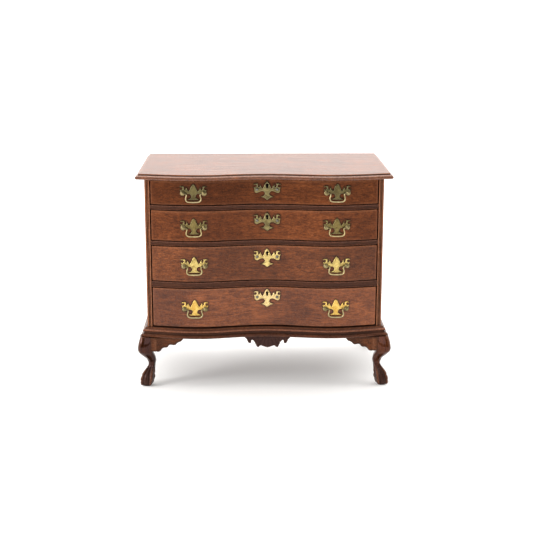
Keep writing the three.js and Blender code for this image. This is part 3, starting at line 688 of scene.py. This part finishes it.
def build_base():
    profile = base_profile()
    wear_and_highlight_row = [wear_and_highlight for _, _, wear_and_highlight, _ in profile]
    grime_and_shade_row = [grime_and_shade for _, _, _, grime_and_shade in profile]

    def moulding(name, stations, node):
        shape = loft(stations)
        count = len(stations)
        piece(
            name, shape, "case", base_wood, [node], wear_and_highlight_row * count,
            grime_and_shade_row * count, 50
        )

    steps, rows = 150, 40
    stations = []
    for i in range(steps + 1):
        row = []
        for out, z, _, _ in profile:
            x = (-1 + 2 * i / steps) * (CASE_HALF + out)
            y = CASE_FRONT - bow(x) - out + wobble(x, 0, 0, 0.1, 63.0)
            row.append((x, y, z + wobble(x, out, 0, 0.07, 61.0)))
        stations.append(row)
    moulding("base_front", stations, "base_moulding_front")
    for side, hand in ((-1, "left"), (1, "right")):
        node = "base_moulding_" + hand
        back = span(node)[1][1]
        stations = []
        for k in range(rows + 1):
            row = []
            for out, z, _, _ in profile:
                x = CASE_HALF + out
                start = CASE_FRONT - bow(x) - out + 0.06
                y = start + (back - start) * k / rows
                row.append((side * (x - 0.02), y, z + wobble(y, out, side * 5, 0.07, 65.0)))
            stations.append(row)
        moulding("base_side_" + hand, stations, node)


# ---------- legs ----------
# Each section of a leg: height, shift of its centre out from the case corner, half width, and
# how square it is, 2 being round.
LEG_SECTIONS = [
    (0.0, 0.5, 1.78, 2.3), (0.25, 0.51, 1.98, 2.2), (0.7, 0.5, 2.20, 2.1), (1.5, 0.4, 2.38, 2.0),
    (2.7, 0.2, 2.43, 2.0), (3.7, 0.07, 2.24, 2.0), (4.6, -0.2, 1.90, 2.0), (5.3, -0.48, 1.54, 2.0),
    (6.1, -0.86, 1.18, 2.0), (6.9, -1.14, 1.08, 2.0), (7.9, -1.22, 1.26, 2.1),
    (9.1, -0.88, 1.64, 2.3), (10.2, -0.32, 2.03, 2.5), (11.2, 0.25, 2.3, 2.7),
    (12.1, 0.68, 2.48, 2.8), (13.3, 0.8, 2.55, 2.9), (15.0, 0.46, 2.66, 3.0),
    (16.4, 0.08, 2.62, 3.4), (17.2, -0.12, 2.54, 4.0),
]
CLAW_TURN = math.radians(32)


def claw_relief(turn, z):
    """Height of the claws over the ball at that place, and how near a claw's ridge it is."""
    relief = 0.0
    ridge = 0.0
    for k in range(4):
        angle = (turn - CLAW_TURN - k * math.pi / 2 + math.pi) % (2 * math.pi) - math.pi
        width = 0.19 + 0.09 * smooth((z - 3.0) / 3.0)
        if z < 1.8:
            width *= 0.40 + 0.60 * z / 1.8
        across = math.exp(-((angle / width) ** 4))
        knuckle = 0.60 + 0.12 * peak(z, 4.3, 0.55) + 0.10 * peak(z, 2.6, 0.50)
        knuckle -= 0.12 * peak(z, 3.45, 0.28) + 0.10 * peak(z, 1.7, 0.25)
        fade = smooth(z / 0.35) * (1 - 0.72 * smooth((z - 5.0) / 2.2))
        groove = peak(abs(angle), width * 1.5, 0.10)
        low = 1 - smooth((z - 5.2) / 1.4)
        relief += across * knuckle * fade - 0.16 * groove * low * smooth(z / 0.6)
        ridge = max(ridge, across * fade)
    return relief, ridge


def build_leg(node, side, depth):
    """Cabriole leg; side is -1 at the left and 1 at the right, depth -1 at the front."""
    if depth < 0:
        corner = CASE_FRONT - bow(CASE_HALF)
    else:
        corner = span(node)[1][1] - max(out + half for _, out, half, _ in LEG_SECTIONS)
    turns = circle(112)
    rings, wear_and_highlight, grime_and_shade = [], [], []
    for z, out, half, square in spline(LEG_SECTIONS, 6):
        z = max(z, 0.0)
        cx = side * (CASE_HALF + out)
        cy = corner + depth * out
        ring = []
        for c, s in turns:
            spread = (abs(c) ** square + abs(s) ** square) ** (-1 / square)
            # Turn measured from straight out of the front or back, towards the middle.
            turn = math.atan2(-side * c, depth * s)
            relief, ridge = claw_relief(turn, z) if z < 8.6 else (0.0, 0.0)
            carved = 1 - smooth((z - 4.2) / 2.6)
            r = half * spread + relief - 0.42 * carved
            r += wobble(cx + c * 9, cy + s * 9, z * 4, 0.05, 71.0)
            ring.append((cx + r * c, cy + r * s, z))
            edge = smooth((spread - 1.06) / 0.12) * smooth((z - 8.5) / 3)
            # Worn square arrises; the claw ridges are painted lighter, wear and a painted highlight.
            wear_and_highlight.append(0.22 * edge + 0.36 * ridge * carved)
            # The foot darkens below the ankle, most in the hollows between the claws, painted shade
            # there, and least on the claw ridges.
            foot_dark_and_hollow_shade = 0.80 + 0.20 * smooth((0.06 - relief) / 0.15) - 0.60 * ridge
            grime_and_shade.append(foot_dark_and_hollow_shade * (1 - smooth((z - 4.5) / 3.0)))
        rings.append(ring)
    shape = loft(rings)
    piece(
        node.replace("leg", "cabriole"), shape, "case", leg_woods[side],
        [node], wear_and_highlight, grime_and_shade, 70
    )


def build_legs():
    for place, depth in (("front", -1), ("back", 1)):
        for hand, side in (("left", -1), ("right", 1)):
            build_leg("leg_%s_%s" % (place, hand), side, depth)


# ---------- relief plates: brackets, drop, brass ----------
def dense(points, step):
    """Points added along a closed outline so that none are further apart than step."""
    result = []
    for a, b in zip(points, points[1:] + points[:1]):
        parts = max(1, math.ceil(math.dist(a, b) / step))
        for k in range(parts):
            t = k / parts
            result.append((a[0] + (b[0] - a[0]) * t, a[1] + (b[1] - a[1]) * t))
    return result


def inside(x, z, loops):
    """Whether a point is inside the outline, which is the first loop, and not in a hole."""
    hits = []
    for loop in loops:
        hit = False
        for (x0, z0), (x1, z1) in zip(loop[-1:] + loop[:-1], loop):
            if (z0 > z) != (z1 > z) and x < (x1 - x0) * (z - z0) / (z1 - z0) + x0:
                hit = not hit
        hits.append(hit)
    return hits[0] and not any(hits[1:])


def edge_distance(points, loops):
    """How far each point is from the nearest side of any loop."""
    p = np.array(points)
    best = np.full(len(p), 1e9)
    for loop in loops:
        a = np.array(loop)
        b = np.roll(a, -1, axis=0)
        for s, e in zip(a, b):
            d = e - s
            length = max(float(d @ d), 1e-12)
            t = np.clip(((p - s) @ d) / length, 0, 1)
            near = s + t[:, None] * d
            best = np.minimum(best, np.hypot(*(p - near).T))
    return best


def relief_plate(outline, holes, step, height, place, back):
    """A plate cut to an outline in x and z, filled with points about a step apart.

    height(x, z, distance from the edge) is how far its face stands out, place(x, z, out)
    gives the point in space, and back is how far in its rear face is.
    """
    loops = [dense(outline, step)] + [dense(h, step) for h in holes]
    points = [p for loop in loops for p in loop]
    edges = []
    start = 0
    for loop in loops:
        count = len(loop)
        edges += [(start + i, start + (i + 1) % count) for i in range(count)]
        start += count
    xs = [p[0] for p in points]
    zs = [p[1] for p in points]
    grid = []
    row = 0
    z = min(zs) + step / 2
    while z < max(zs):
        x = min(xs) + (step / 2 if row % 2 else 0)
        while x < max(xs):
            if inside(x, z, loops):
                grid.append((x, z))
            x += step
        z += step * 0.87
        row += 1
    gaps = edge_distance(grid, loops)
    points += [point for point, gap in zip(grid, gaps) if gap > step * 0.45]
    out = delaunay_2d_cdt([Vector(p) for p in points], edges, [], 0, 1e-6)
    flat = [(v.x, v.y) for v in out[0]]
    faces = []
    for face in out[2]:
        cx = sum(flat[i][0] for i in face) / len(face)
        cz = sum(flat[i][1] for i in face) / len(face)
        if inside(cx, cz, loops):
            faces.append(tuple(face))
    used = sorted({i for f in faces for i in f})
    renumber = {old: new for new, old in enumerate(used)}
    flat = [flat[i] for i in used]
    faces = [tuple(renumber[i] for i in f) for f in faces]
    distance = edge_distance(flat, loops)
    count = len(flat)
    verts = [place(x, z, height(x, z, d)) for (x, z), d in zip(flat, distance)]
    verts += [place(x, z, -back) for x, z in flat]
    sides = {pair: True for f in faces for pair in zip(f, f[1:] + f[:1])}
    walls = [(a, b) for a, b in sides if (b, a) not in sides]
    all_faces = faces + [tuple(i + count for i in reversed(f)) for f in faces]
    all_faces += [(b, a, a + count, b + count) for a, b in walls]
    return (verts, all_faces), flat, distance


# Scallops of a knee bracket from the leg to its tip: control point and end of each curve.
BRACKET_CURVES = [
    ((1.5, 5.2), (1.95, 4.5)), ((2.25, 3.75), (3.1, 3.65)), ((4.2, 3.7), (4.5, 2.95)),
    ((4.8, 2.45), (5.6, 2.55)), ((6.7, 2.75), (7.1, 2.25)), ((7.6, 1.6), (8.3, 1.4)),
    ((9.0, 1.1), (9.3, 0.5)),
]


BRACKET_LENGTH = 9.8
BRACKET_BACK = 1.25
BRACKET_OUT = 0.75
BRACKET_EDGE = 0.22
DROP_OUT = 1.1
DROP_EDGE = 0.35


def rounded_edge(d, radius):
    """Height of a quarter-round edge, at the distance d in from the rim."""
    return radius * (1 - (1 - min(d / radius, 1.0)) ** 2) ** 0.5


def bracket_outline():
    """Knee bracket as (u, v): u along from the leg, v down from its top."""
    points = [(-1.6, 0.0), (-1.6, 4.7), (0.5, 4.8)]
    last = points[-1]
    for control, end in BRACKET_CURVES:
        for k in range(1, 9):
            t = k / 8
            points.append(
                tuple(
                    (1 - t) ** 2 * a + 2 * t * (1 - t) * c + t * t * b
                    for a, c, b in zip(last, control, end)
                )
            )
        last = end
    points.append((BRACKET_LENGTH, 0.0))
    return points


def bracket_height(u, v, d):
    """A rounded edge, and a shallow channel along the scallops."""
    channel = 0.09 * peak(d, 0.62, 0.16) * smooth((v - 0.6) / 0.8)
    return rounded_edge(d, BRACKET_EDGE) - channel


def bracket_flare(u):
    """How far a bracket swells out to meet the knee."""
    return 1.9 * (1 - smooth((u + 1.2) / 4.6))


def build_brackets():
    top = span("knee_bracket_front_left")[1][2]
    outline = bracket_outline()
    for face_name, hand in (("front", "left"), ("front", "right"), ("side", "left"), ("side", "right")):
        node = "knee_bracket_%s_%s" % (face_name, hand)
        low, high = span(node)
        side = -1 if hand == "left" else 1
        if face_name == "front":
            start = min(abs(low[0]), abs(high[0])) + BRACKET_LENGTH

            def place(u, v, out, side=side, start=start):
                x = side * (start - u)
                y = CASE_FRONT - BRACKET_OUT - bracket_flare(u) - bow(x) + BRACKET_EDGE - out
                return (x, y, top - v)

        else:
            face = max(abs(low[0]), abs(high[0])) - BRACKET_EDGE
            start = high[1] - BRACKET_LENGTH

            def place(u, v, out, side=side, face=face, start=start):
                return (side * (face + bracket_flare(u) + out), start + u, top - v)

        shape, flat, distance = relief_plate(outline, [], 0.34, bracket_height, place, BRACKET_BACK)
        wear_and_highlight = [0.25 * smooth((u + 1.0) / 1.4) * (1 - smooth((u - 0.2) / 0.5)) for u, v in flat]
        wear_and_highlight += [0.0] * len(flat)
        grime_and_shade = [0.75 * (1 - smooth((d - 0.15) / 0.7)) for d in distance] + [0.5] * len(flat)
        piece(
            node.replace("knee_", ""), shape, "case", bracket_wood, [node],
            wear_and_highlight, grime_and_shade
        )


def drop_outline():
    """Carved drop as (u, v) from the middle of its top; smooth and left-right symmetric."""
    half = [
        (0.0, 4.0), (0.9, 3.78), (2.0, 3.36), (2.45, 3.38), (2.85, 3.74), (3.25, 3.9), (3.6, 3.6),
        (4.0, 2.8), (4.4, 2.0), (4.8, 1.5), (5.2, 1.3), (5.42, 1.5), (5.48, 2.1), (5.75, 2.42),
        (6.22, 2.35), (6.6, 1.85), (6.95, 1.05), (7.4, 0.55), (7.9, 0.0),
    ]
    curve = spline(half, 4)
    return curve + [(-x, y) for x, y in reversed(curve[1:])]


def drop_height(u, v, d):
    """Lobes of a shell spread from a point above the drop, and a leaf lies on each side."""
    angle = math.atan2(u, v + 3.2)
    reach = math.hypot(u, v + 3.2)
    shell = 0.5 + 0.5 * math.cos(angle * 26)
    shell *= (1 - smooth((abs(u) - 3.2) / 0.7)) * smooth(reach - 3.6)
    leaf = 0.5 + 0.5 * math.cos((abs(u) * 1.1 - v * 0.9) * 3.4)
    leaf *= smooth((abs(u) - 3.3) / 0.6)
    carving = 0.22 * (1 - shell) + 0.12 * leaf
    return rounded_edge(d, DROP_EDGE) - carving * smooth(d / 0.4)


def build_drop():
    low, high = span("skirt_drop")
    centre = (low[0] + high[0]) / 2
    top = high[2]

    def place(u, v, out):
        x = centre + u
        return (x, CASE_FRONT - DROP_OUT - bow(x) + DROP_EDGE - out, top - v)

    shape, flat, distance = relief_plate(drop_outline(), [], 0.20, drop_height, place, 0.9)
    wear_and_highlight = [0.35 * (1 - smooth(d / 0.3)) for d in distance] + [0.0] * len(flat)
    grime_and_shade = [0.3 + 0.4 * smooth(d / 0.6) for d in distance] + [0.3] * len(flat)
    piece("carved_drop", shape, "case", drop_wood, ["skirt_drop"], wear_and_highlight, grime_and_shade, 60)


POST_X = 3.5
POST_SIDES = 28
PIN_SIDES = 20
PLATE_FACE = 0.24
PLATE_BACK = 0.17
BAIL_RADIUS = 0.22


def wing_outline(foot):
    """Bat-wing plate as (u, v) from the spike, v down; smooth between the sharp corners."""
    runs = [
        [(0.0, 0.0), (0.40, 0.42), (0.68, 0.82), (0.96, 1.45), (1.18, 1.98), (1.42, 2.40)],
        [(1.42, 2.40), (1.56, 2.40), (1.80, 2.04), (2.08, 1.55), (2.34, 1.02)],
        [(2.34, 1.02), (2.42, 1.50), (2.56, 1.96), (2.72, 2.06), (2.92, 1.72), (3.0, 0.9)],
        [(3.0, 0.9), (3.2, 0.80), (3.6, 0.78), (4.0, 0.84), (4.36, 1.0)],
        [(4.36, 1.0), (4.40, 1.14), (4.34, 1.26)],
        [(4.34, 1.26), (4.08, 1.18), (3.76, 1.22), (3.52, 1.42), (3.50, 1.72), (3.70, 1.96)],
        [(3.70, 1.96), (4.0, 2.02), (4.32, 1.92)],
        [(4.32, 1.92), (4.44, 2.06), (4.36, 2.24), (4.20, 2.44), (4.16, 2.75)],
        [(4.16, 2.75), (4.20, 3.2), (4.06, 3.62), (3.80, 3.88), (3.42, 4.0), (3.0, 3.86)],
        [(3.0, 3.86), (2.5, 3.62), (1.98, 3.43), (1.5, 3.38), (1.13, 3.54), (0.85, 3.86)],
        [(0.85, 3.86), (0.75, 4.22), (0.84, 4.54), (1.14, 4.82), (1.55, 5.02), (2.05, 5.16)],
    ]
    half = []
    for run in runs + [foot]:
        half += spline(run, 4)[:-1]
    half.append(foot[-1])
    mirror = [(-u, v) for u, v in reversed(half[1:-1])]
    return half + mirror


HANDLE_FOOT = [(2.05, 5.16), (1.6, 5.38), (0.8, 5.44), (0.0, 5.46)]
ESCUTCHEON_FOOT = [(2.05, 5.16), (1.6, 5.42), (1.1, 5.54), (0.8, 5.74), (0.38, 6.08), (0.0, 6.3)]


def keyhole_outline():
    """Round keyhole with a slot below, as (u, v) from the spike of its plate."""
    points = []
    for k in range(17):
        a = math.radians(-50 + 280 * k / 16)
        points.append((0.43 * math.cos(a), 1.38 - 0.43 * math.sin(a)))
    points.append((-0.25, 2.34))
    points.append((0.25, 2.34))
    return points


def plate_relief(u, v, d):
    """Bevelled edge and chased lines on the face of a brass plate."""
    edge = 0.13 / 0.17 * rounded_edge(d, 0.17)
    line = peak(d, 0.34, 0.055)
    lobe = math.hypot(abs(u) - POST_X, v - 3.1)
    ring = peak(lobe, 0.72, 0.06) * smooth((d - 0.1) / 0.2)
    return edge - 0.05 * line - 0.05 * ring


def brass_plate(name, node, drawer, material, outline, holes=()):
    low, high = span(node)
    centre = (low[0] + high[0]) / 2

    def place(u, v, out):
        x = centre + u
        return (x, CASE_FRONT - bow(x) - PLATE_FACE - out, high[2] - v)

    shape, flat, distance = relief_plate(outline, holes, 0.16, plate_relief, place, PLATE_BACK)
    # A bright band on the bevel, wear and a painted highlight where the bevel catches the light; the
    # chased line darkens as patina, and a dark line at the foot of the outer wall is painted shade.
    wear_and_highlight = [0.6 * peak(d, 0.20, 0.07) for d in distance] + [0.0] * len(flat)
    grime_and_shade = [0.5 * peak(d, 0.34, 0.07) + 0.25 * (1 - smooth(d / 0.05)) for d in distance]
    grime_and_shade += [0.6] * len(flat)
    piece(name, shape, drawer, material, [node], wear_and_highlight, grime_and_shade, 60)
    return centre, high[2]


def lathe_y(profile, x, y, z, around):
    """A turned piece on a line towards -Y: profile is (radius, forward of y)."""
    turns = circle(around)
    return loft([[(x + r * c, y - f, z + r * s) for c, s in turns] for r, f in profile])


POST_PROFILE = [
    (0.30, -0.05), (0.74, 0.0), (0.80, 0.06), (0.80, 0.14), (0.70, 0.20), (0.52, 0.26),
    (0.46, 0.34), (0.50, 0.42), (0.60, 0.54), (0.67, 0.70), (0.67, 0.86), (0.60, 1.00),
    (0.46, 1.10), (0.30, 1.15), (0.22, 1.18), (0.20, 1.22), (0.12, 1.26), (0.02, 1.27),
]


def build_handle(drawer, hand, material, bail_material):
    """Bat-wing plate, its two posts with their nuts, and the bail between the posts."""
    bail_node = "%s_bail_%s" % (drawer, hand)
    centre, _ = brass_plate(
        "%s_backplate_%s" % (drawer, hand), "%s_plate_%s" % (drawer, hand), drawer, material,
        wing_outline(HANDLE_FOOT)
    )
    joint = next(j for j in frame["joints"] if j["child"] == bail_node)
    pivot = [v / MM for v in joint["pos_m"]]
    for side, side_name in ((-1, "a"), (1, "b")):
        x = centre + side * POST_X
        root = CASE_FRONT - bow(x) - 0.3
        shape = lathe_y(POST_PROFILE, x, root, pivot[2], POST_SIDES)
        wear_and_highlight, grime_and_shade = [], []
        for r, forward in POST_PROFILE:
            wear_and_highlight += [0.15 if r > 0.6 else 0.0] * POST_SIDES
            grime_and_shade += [0.9 if 0.22 < forward < 0.45 else 0.0] * POST_SIDES
        piece(
            "%s_post_%s_%s" % (drawer, hand, side_name), shape, drawer, post_brass,
            (), wear_and_highlight, grime_and_shade, 50
        )
        build_nut(drawer, hand, side_name, x, pivot[2], post_brass)
    build_bail(drawer, hand, bail_node, pivot, bail_material)


def build_nut(drawer, hand, side_name, x, z, material):
    """Six-sided nut and the end of the post, on the inner face of the drawer front."""
    face = span(drawer + "_front")[1][1]
    corners = 12
    rings = []
    for r, back in ((0.85, 0.03), (0.85, 0.42), (0.73, 0.52)):
        ring = []
        for i in range(corners):
            a = 2 * math.pi * i / corners
            reach = r / math.cos((a % (math.pi / 3)) - math.pi / 6)
            ring.append((x + reach * math.cos(a), face + back, z + reach * math.sin(a)))
        rings.append(ring)
    for r, back in ((0.40, 0.52), (0.40, 0.85), (0.30, 0.92)):
        rings.append([(x + r * c, face + back, z + r * s) for c, s in circle(corners)])
    shape = loft(rings)
    piece(
        "%s_nut_%s_%s" % (drawer, hand, side_name), shape, drawer, material,
        (), None, [0.4] * len(shape[0]), 30
    )


BAIL_HALF = [
    (POST_X, 0.0), (3.0, 0.0), (2.68, -0.02), (2.36, -0.16), (2.22, -0.45), (2.28, -0.85),
    (2.42, -1.30), (2.48, -1.75), (2.36, -2.25), (1.98, -2.60), (1.45, -2.74), (0.75, -2.78),
    (0.0, -2.79),
]


def build_bail(drawer, hand, node, pivot, material):
    """Cast bail, stouter in the middle and where it turns in towards the posts."""
    right = spline(BAIL_HALF, 5)
    line = right + [(-x, z) for x, z in reversed(right[:-1])]
    turns = circle(18)
    rings, wear_and_highlight, grime_and_shade = [], [], []
    for i, (x, z) in enumerate(line):
        before, after = line[max(i - 1, 0)], line[min(i + 1, len(line) - 1)]
        tx, tz = after[0] - before[0], after[1] - before[1]
        size = math.hypot(tx, tz)
        nx, nz = -tz / size, tx / size
        radius = BAIL_RADIUS + 0.045 * peak(x, 0.0, 1.1) * smooth(-z - 1.5)
        radius += 0.05 * peak(abs(x), 2.62, 0.16) * smooth(1 + z * 4)
        ring = []
        for c, s in turns:
            across = radius * c
            out = pivot[1] + radius * s
            ring.append((pivot[0] + x + nx * across, out, pivot[2] + z + nz * across))
        rings.append(ring)
        wear_and_highlight += [0.55 if z < -2.3 else 0.25] * len(turns)
        grime_and_shade += [0.7 if z > -0.3 else 0.0] * len(turns)
    shape = loft(rings)
    name = "%s_ring_%s" % (drawer, hand)
    piece(name, shape, node, material, [node], wear_and_highlight, grime_and_shade, 50)


PIN_PROFILE = [(0.50, -0.02), (0.52, 0.1), (0.48, 0.2), (0.36, 0.3), (0.2, 0.35), (0.02, 0.37)]


def lock_shade_sheet(drawer, centre, tip):
    """A near-black sheet just inside the wood behind the keyhole, a little wider than the keyhole:
    painted shade for the unlit inside of the lock.
    """
    y = CASE_FRONT - bow(centre) - 0.03
    outline = [(centre + u * 1.25, tip - 1.35 - (v - 1.35) * 1.12) for u, v in keyhole_outline()]
    shape = loft([[(x, y - 0.05, z) for x, z in outline], [(x, y, z) for x, z in outline]])
    piece(drawer + "_lock_shade_sheet", shape, drawer, unlit_lock_material)


def plate_pins(drawer, centre, tip):
    """Two small round-headed pins hold a keyhole plate."""
    for side, side_name in ((-1, "a"), (1, "b")):
        x = centre + side * 3.3
        root = CASE_FRONT - bow(x) - 0.30
        shape = lathe_y(PIN_PROFILE, x, root, tip - 2.8, PIN_SIDES)
        wear_and_highlight = [0.2] * len(shape[0])
        grime_and_shade = [0.8 if i < 30 else 0.0 for i in range(len(shape[0]))]
        name = "%s_pin_%s" % (drawer, side_name)
        piece(name, shape, drawer, pin_metal, (), wear_and_highlight, grime_and_shade, 50)


def build_escutcheon(drawer, material):
    node = drawer + "_escutcheon"
    outline = wing_outline(ESCUTCHEON_FOOT)
    at = brass_plate(drawer + "_keyplate", node, drawer, material, outline, [keyhole_outline()])
    lock_shade_sheet(drawer, *at)
    plate_pins(drawer, *at)


def build_hardware():
    for drawer, plate, keyplate, bail in zip(DRAWERS, plates, keyplates, bails):
        build_escutcheon(drawer, keyplate)
        for hand in ("left", "right"):
            build_handle(drawer, hand, plate, bail)


# ---------- drawer boxes ----------
def rounded_box(name, node, body, material):
    """A board with eased edges, in the box of its CAD node."""
    low, high = span(node)
    ease = 0.12
    bm = bmesh.new()
    bmesh.ops.create_cube(bm, size=1.0)
    for v in bm.verts:
        v.co = Vector([low[i] + (v.co[i] + 0.5) * (high[i] - low[i]) for i in range(3)])
    bmesh.ops.bevel(bm, geom=bm.edges[:], offset=ease, segments=2, affect="EDGES", profile=0.6)
    longest = max(range(3), key=lambda i: high[i] - low[i])
    normal = Vector([float(i == longest) for i in range(3)])
    for k in range(1, 10):
        at = low[longest] + (high[longest] - low[longest]) * k / 10
        everything = bm.verts[:] + bm.edges[:] + bm.faces[:]
        bmesh.ops.bisect_plane(bm, geom=everything, plane_co=at * normal, plane_no=normal)
    verts = [tuple(v.co) for v in bm.verts]
    index = {v: i for i, v in enumerate(bm.verts)}
    faces = [tuple(index[v] for v in f.verts) for f in bm.faces]
    bm.free()
    wear_and_highlight = []
    for v in verts:
        rims = sum(1 for i in range(3) if min(v[i] - low[i], high[i] - v[i]) < ease * 0.6)
        wear_and_highlight.append(0.6 if rims >= 2 else 0.15)
    piece(name, (verts, faces), body, material, [node], wear_and_highlight, None, 40)


def build_linings():
    woods = {
        "side_left": lining_wood, "side_right": lining_wood, "back": lining_cross,
        "bottom": lining_cross
    }
    for drawer in DRAWERS:
        for part, material in woods.items():
            name = "%s_lining_%s" % (drawer, part)
            rounded_box(name, "%s_%s" % (drawer, part), drawer, material)


build_top()
build_fronts()
build_rails()
build_sides()
build_back()
build_base()
build_legs()
build_brackets()
build_drop()
build_hardware()
build_linings()


# ---------- floor, light, camera ----------
def build_stage():
    """A plain pale floor, just under the feet, that glows a little like a lit backdrop."""
    bm = bmesh.new()
    bmesh.ops.create_grid(bm, x_segments=8, y_segments=8, size=3.0)
    mesh = bpy.data.meshes.new("floor")
    bm.to_mesh(mesh)
    bm.free()
    floor = bpy.data.objects.new("floor", mesh)
    bpy.context.scene.collection.objects.link(floor)
    floor.location.z = -0.00002
    n = Nodes(bpy.data.materials.new("floor_white"))
    floor_white = n.surface({
        "Base Color": rgb(0.90, 0.895, 0.885), "Roughness": 0.7,
        "Emission Color": rgb(1.0, 0.985, 0.965), "Emission Strength": 0.13,
    })
    mesh.materials.append(floor_white)


def area_light(name, location, target, size, radiance):
    """A softbox in metres, aimed at target, as bright however large it is."""
    light = bpy.data.lights.new(name, "AREA")
    light.shape = "RECTANGLE"
    light.size, light.size_y = size
    light.energy = radiance * math.pi * size[0] * size[1]
    obj = bpy.data.objects.new(name, light)
    obj.location = location
    direction = Vector(target) - Vector(location)
    obj.rotation_euler = direction.to_track_quat("-Z", "Y").to_euler()
    bpy.context.scene.collection.objects.link(obj)


def build_light():
    """A studio that is dim behind the camera and bright beyond the chest, and three softboxes."""
    world = bpy.data.worlds.new("studio")
    bpy.context.scene.world = world
    n = Nodes(world, "OutputWorld")
    direction = n.add("SeparateXYZ")
    n.link(n.add("TexCoord").outputs["Generated"], direction.inputs[0])
    glow = n.step(direction.outputs[1], -0.80, 0.05, 0.06, 1.40)
    background = n.add("Background", {"Color": rgb(1.0, 0.985, 0.965), "Strength": glow})
    n.link(background.outputs[0], n.out.inputs[0])
    area_light("softbox_over", (0.0, 0.82, 1.1), (0.0, 0.82, 0.0), (2.6, 2.2), 1.25)
    area_light("softbox_key", (-1.15, -0.55, 0.50), (0.0, -0.02, 0.03), (0.5, 0.5), 13.0)
    area_light("softbox_fill", (0.1, -1.2, 0.40), (0.0, -0.02, 0.02), (0.9, 0.5), 2.2)


def build_camera():
    """The photograph's view, from a least-squares fit to the chest's corners and edges."""
    camera = bpy.data.cameras.new("camera")
    camera.sensor_width = 36.0
    camera.lens = 78.22
    camera.clip_start = 0.01
    obj = bpy.data.objects.new("camera", camera)
    obj.location = (-0.00552, -0.39490, 0.12969)
    obj.rotation_euler = (math.radians(76.661), 0.0, math.radians(-0.950))
    bpy.context.scene.collection.objects.link(obj)
    bpy.context.scene.camera = obj


build_stage()
build_light()
build_camera()
bpy.context.scene.view_settings.view_transform = "Standard"

bpy.context.view_layer.update()
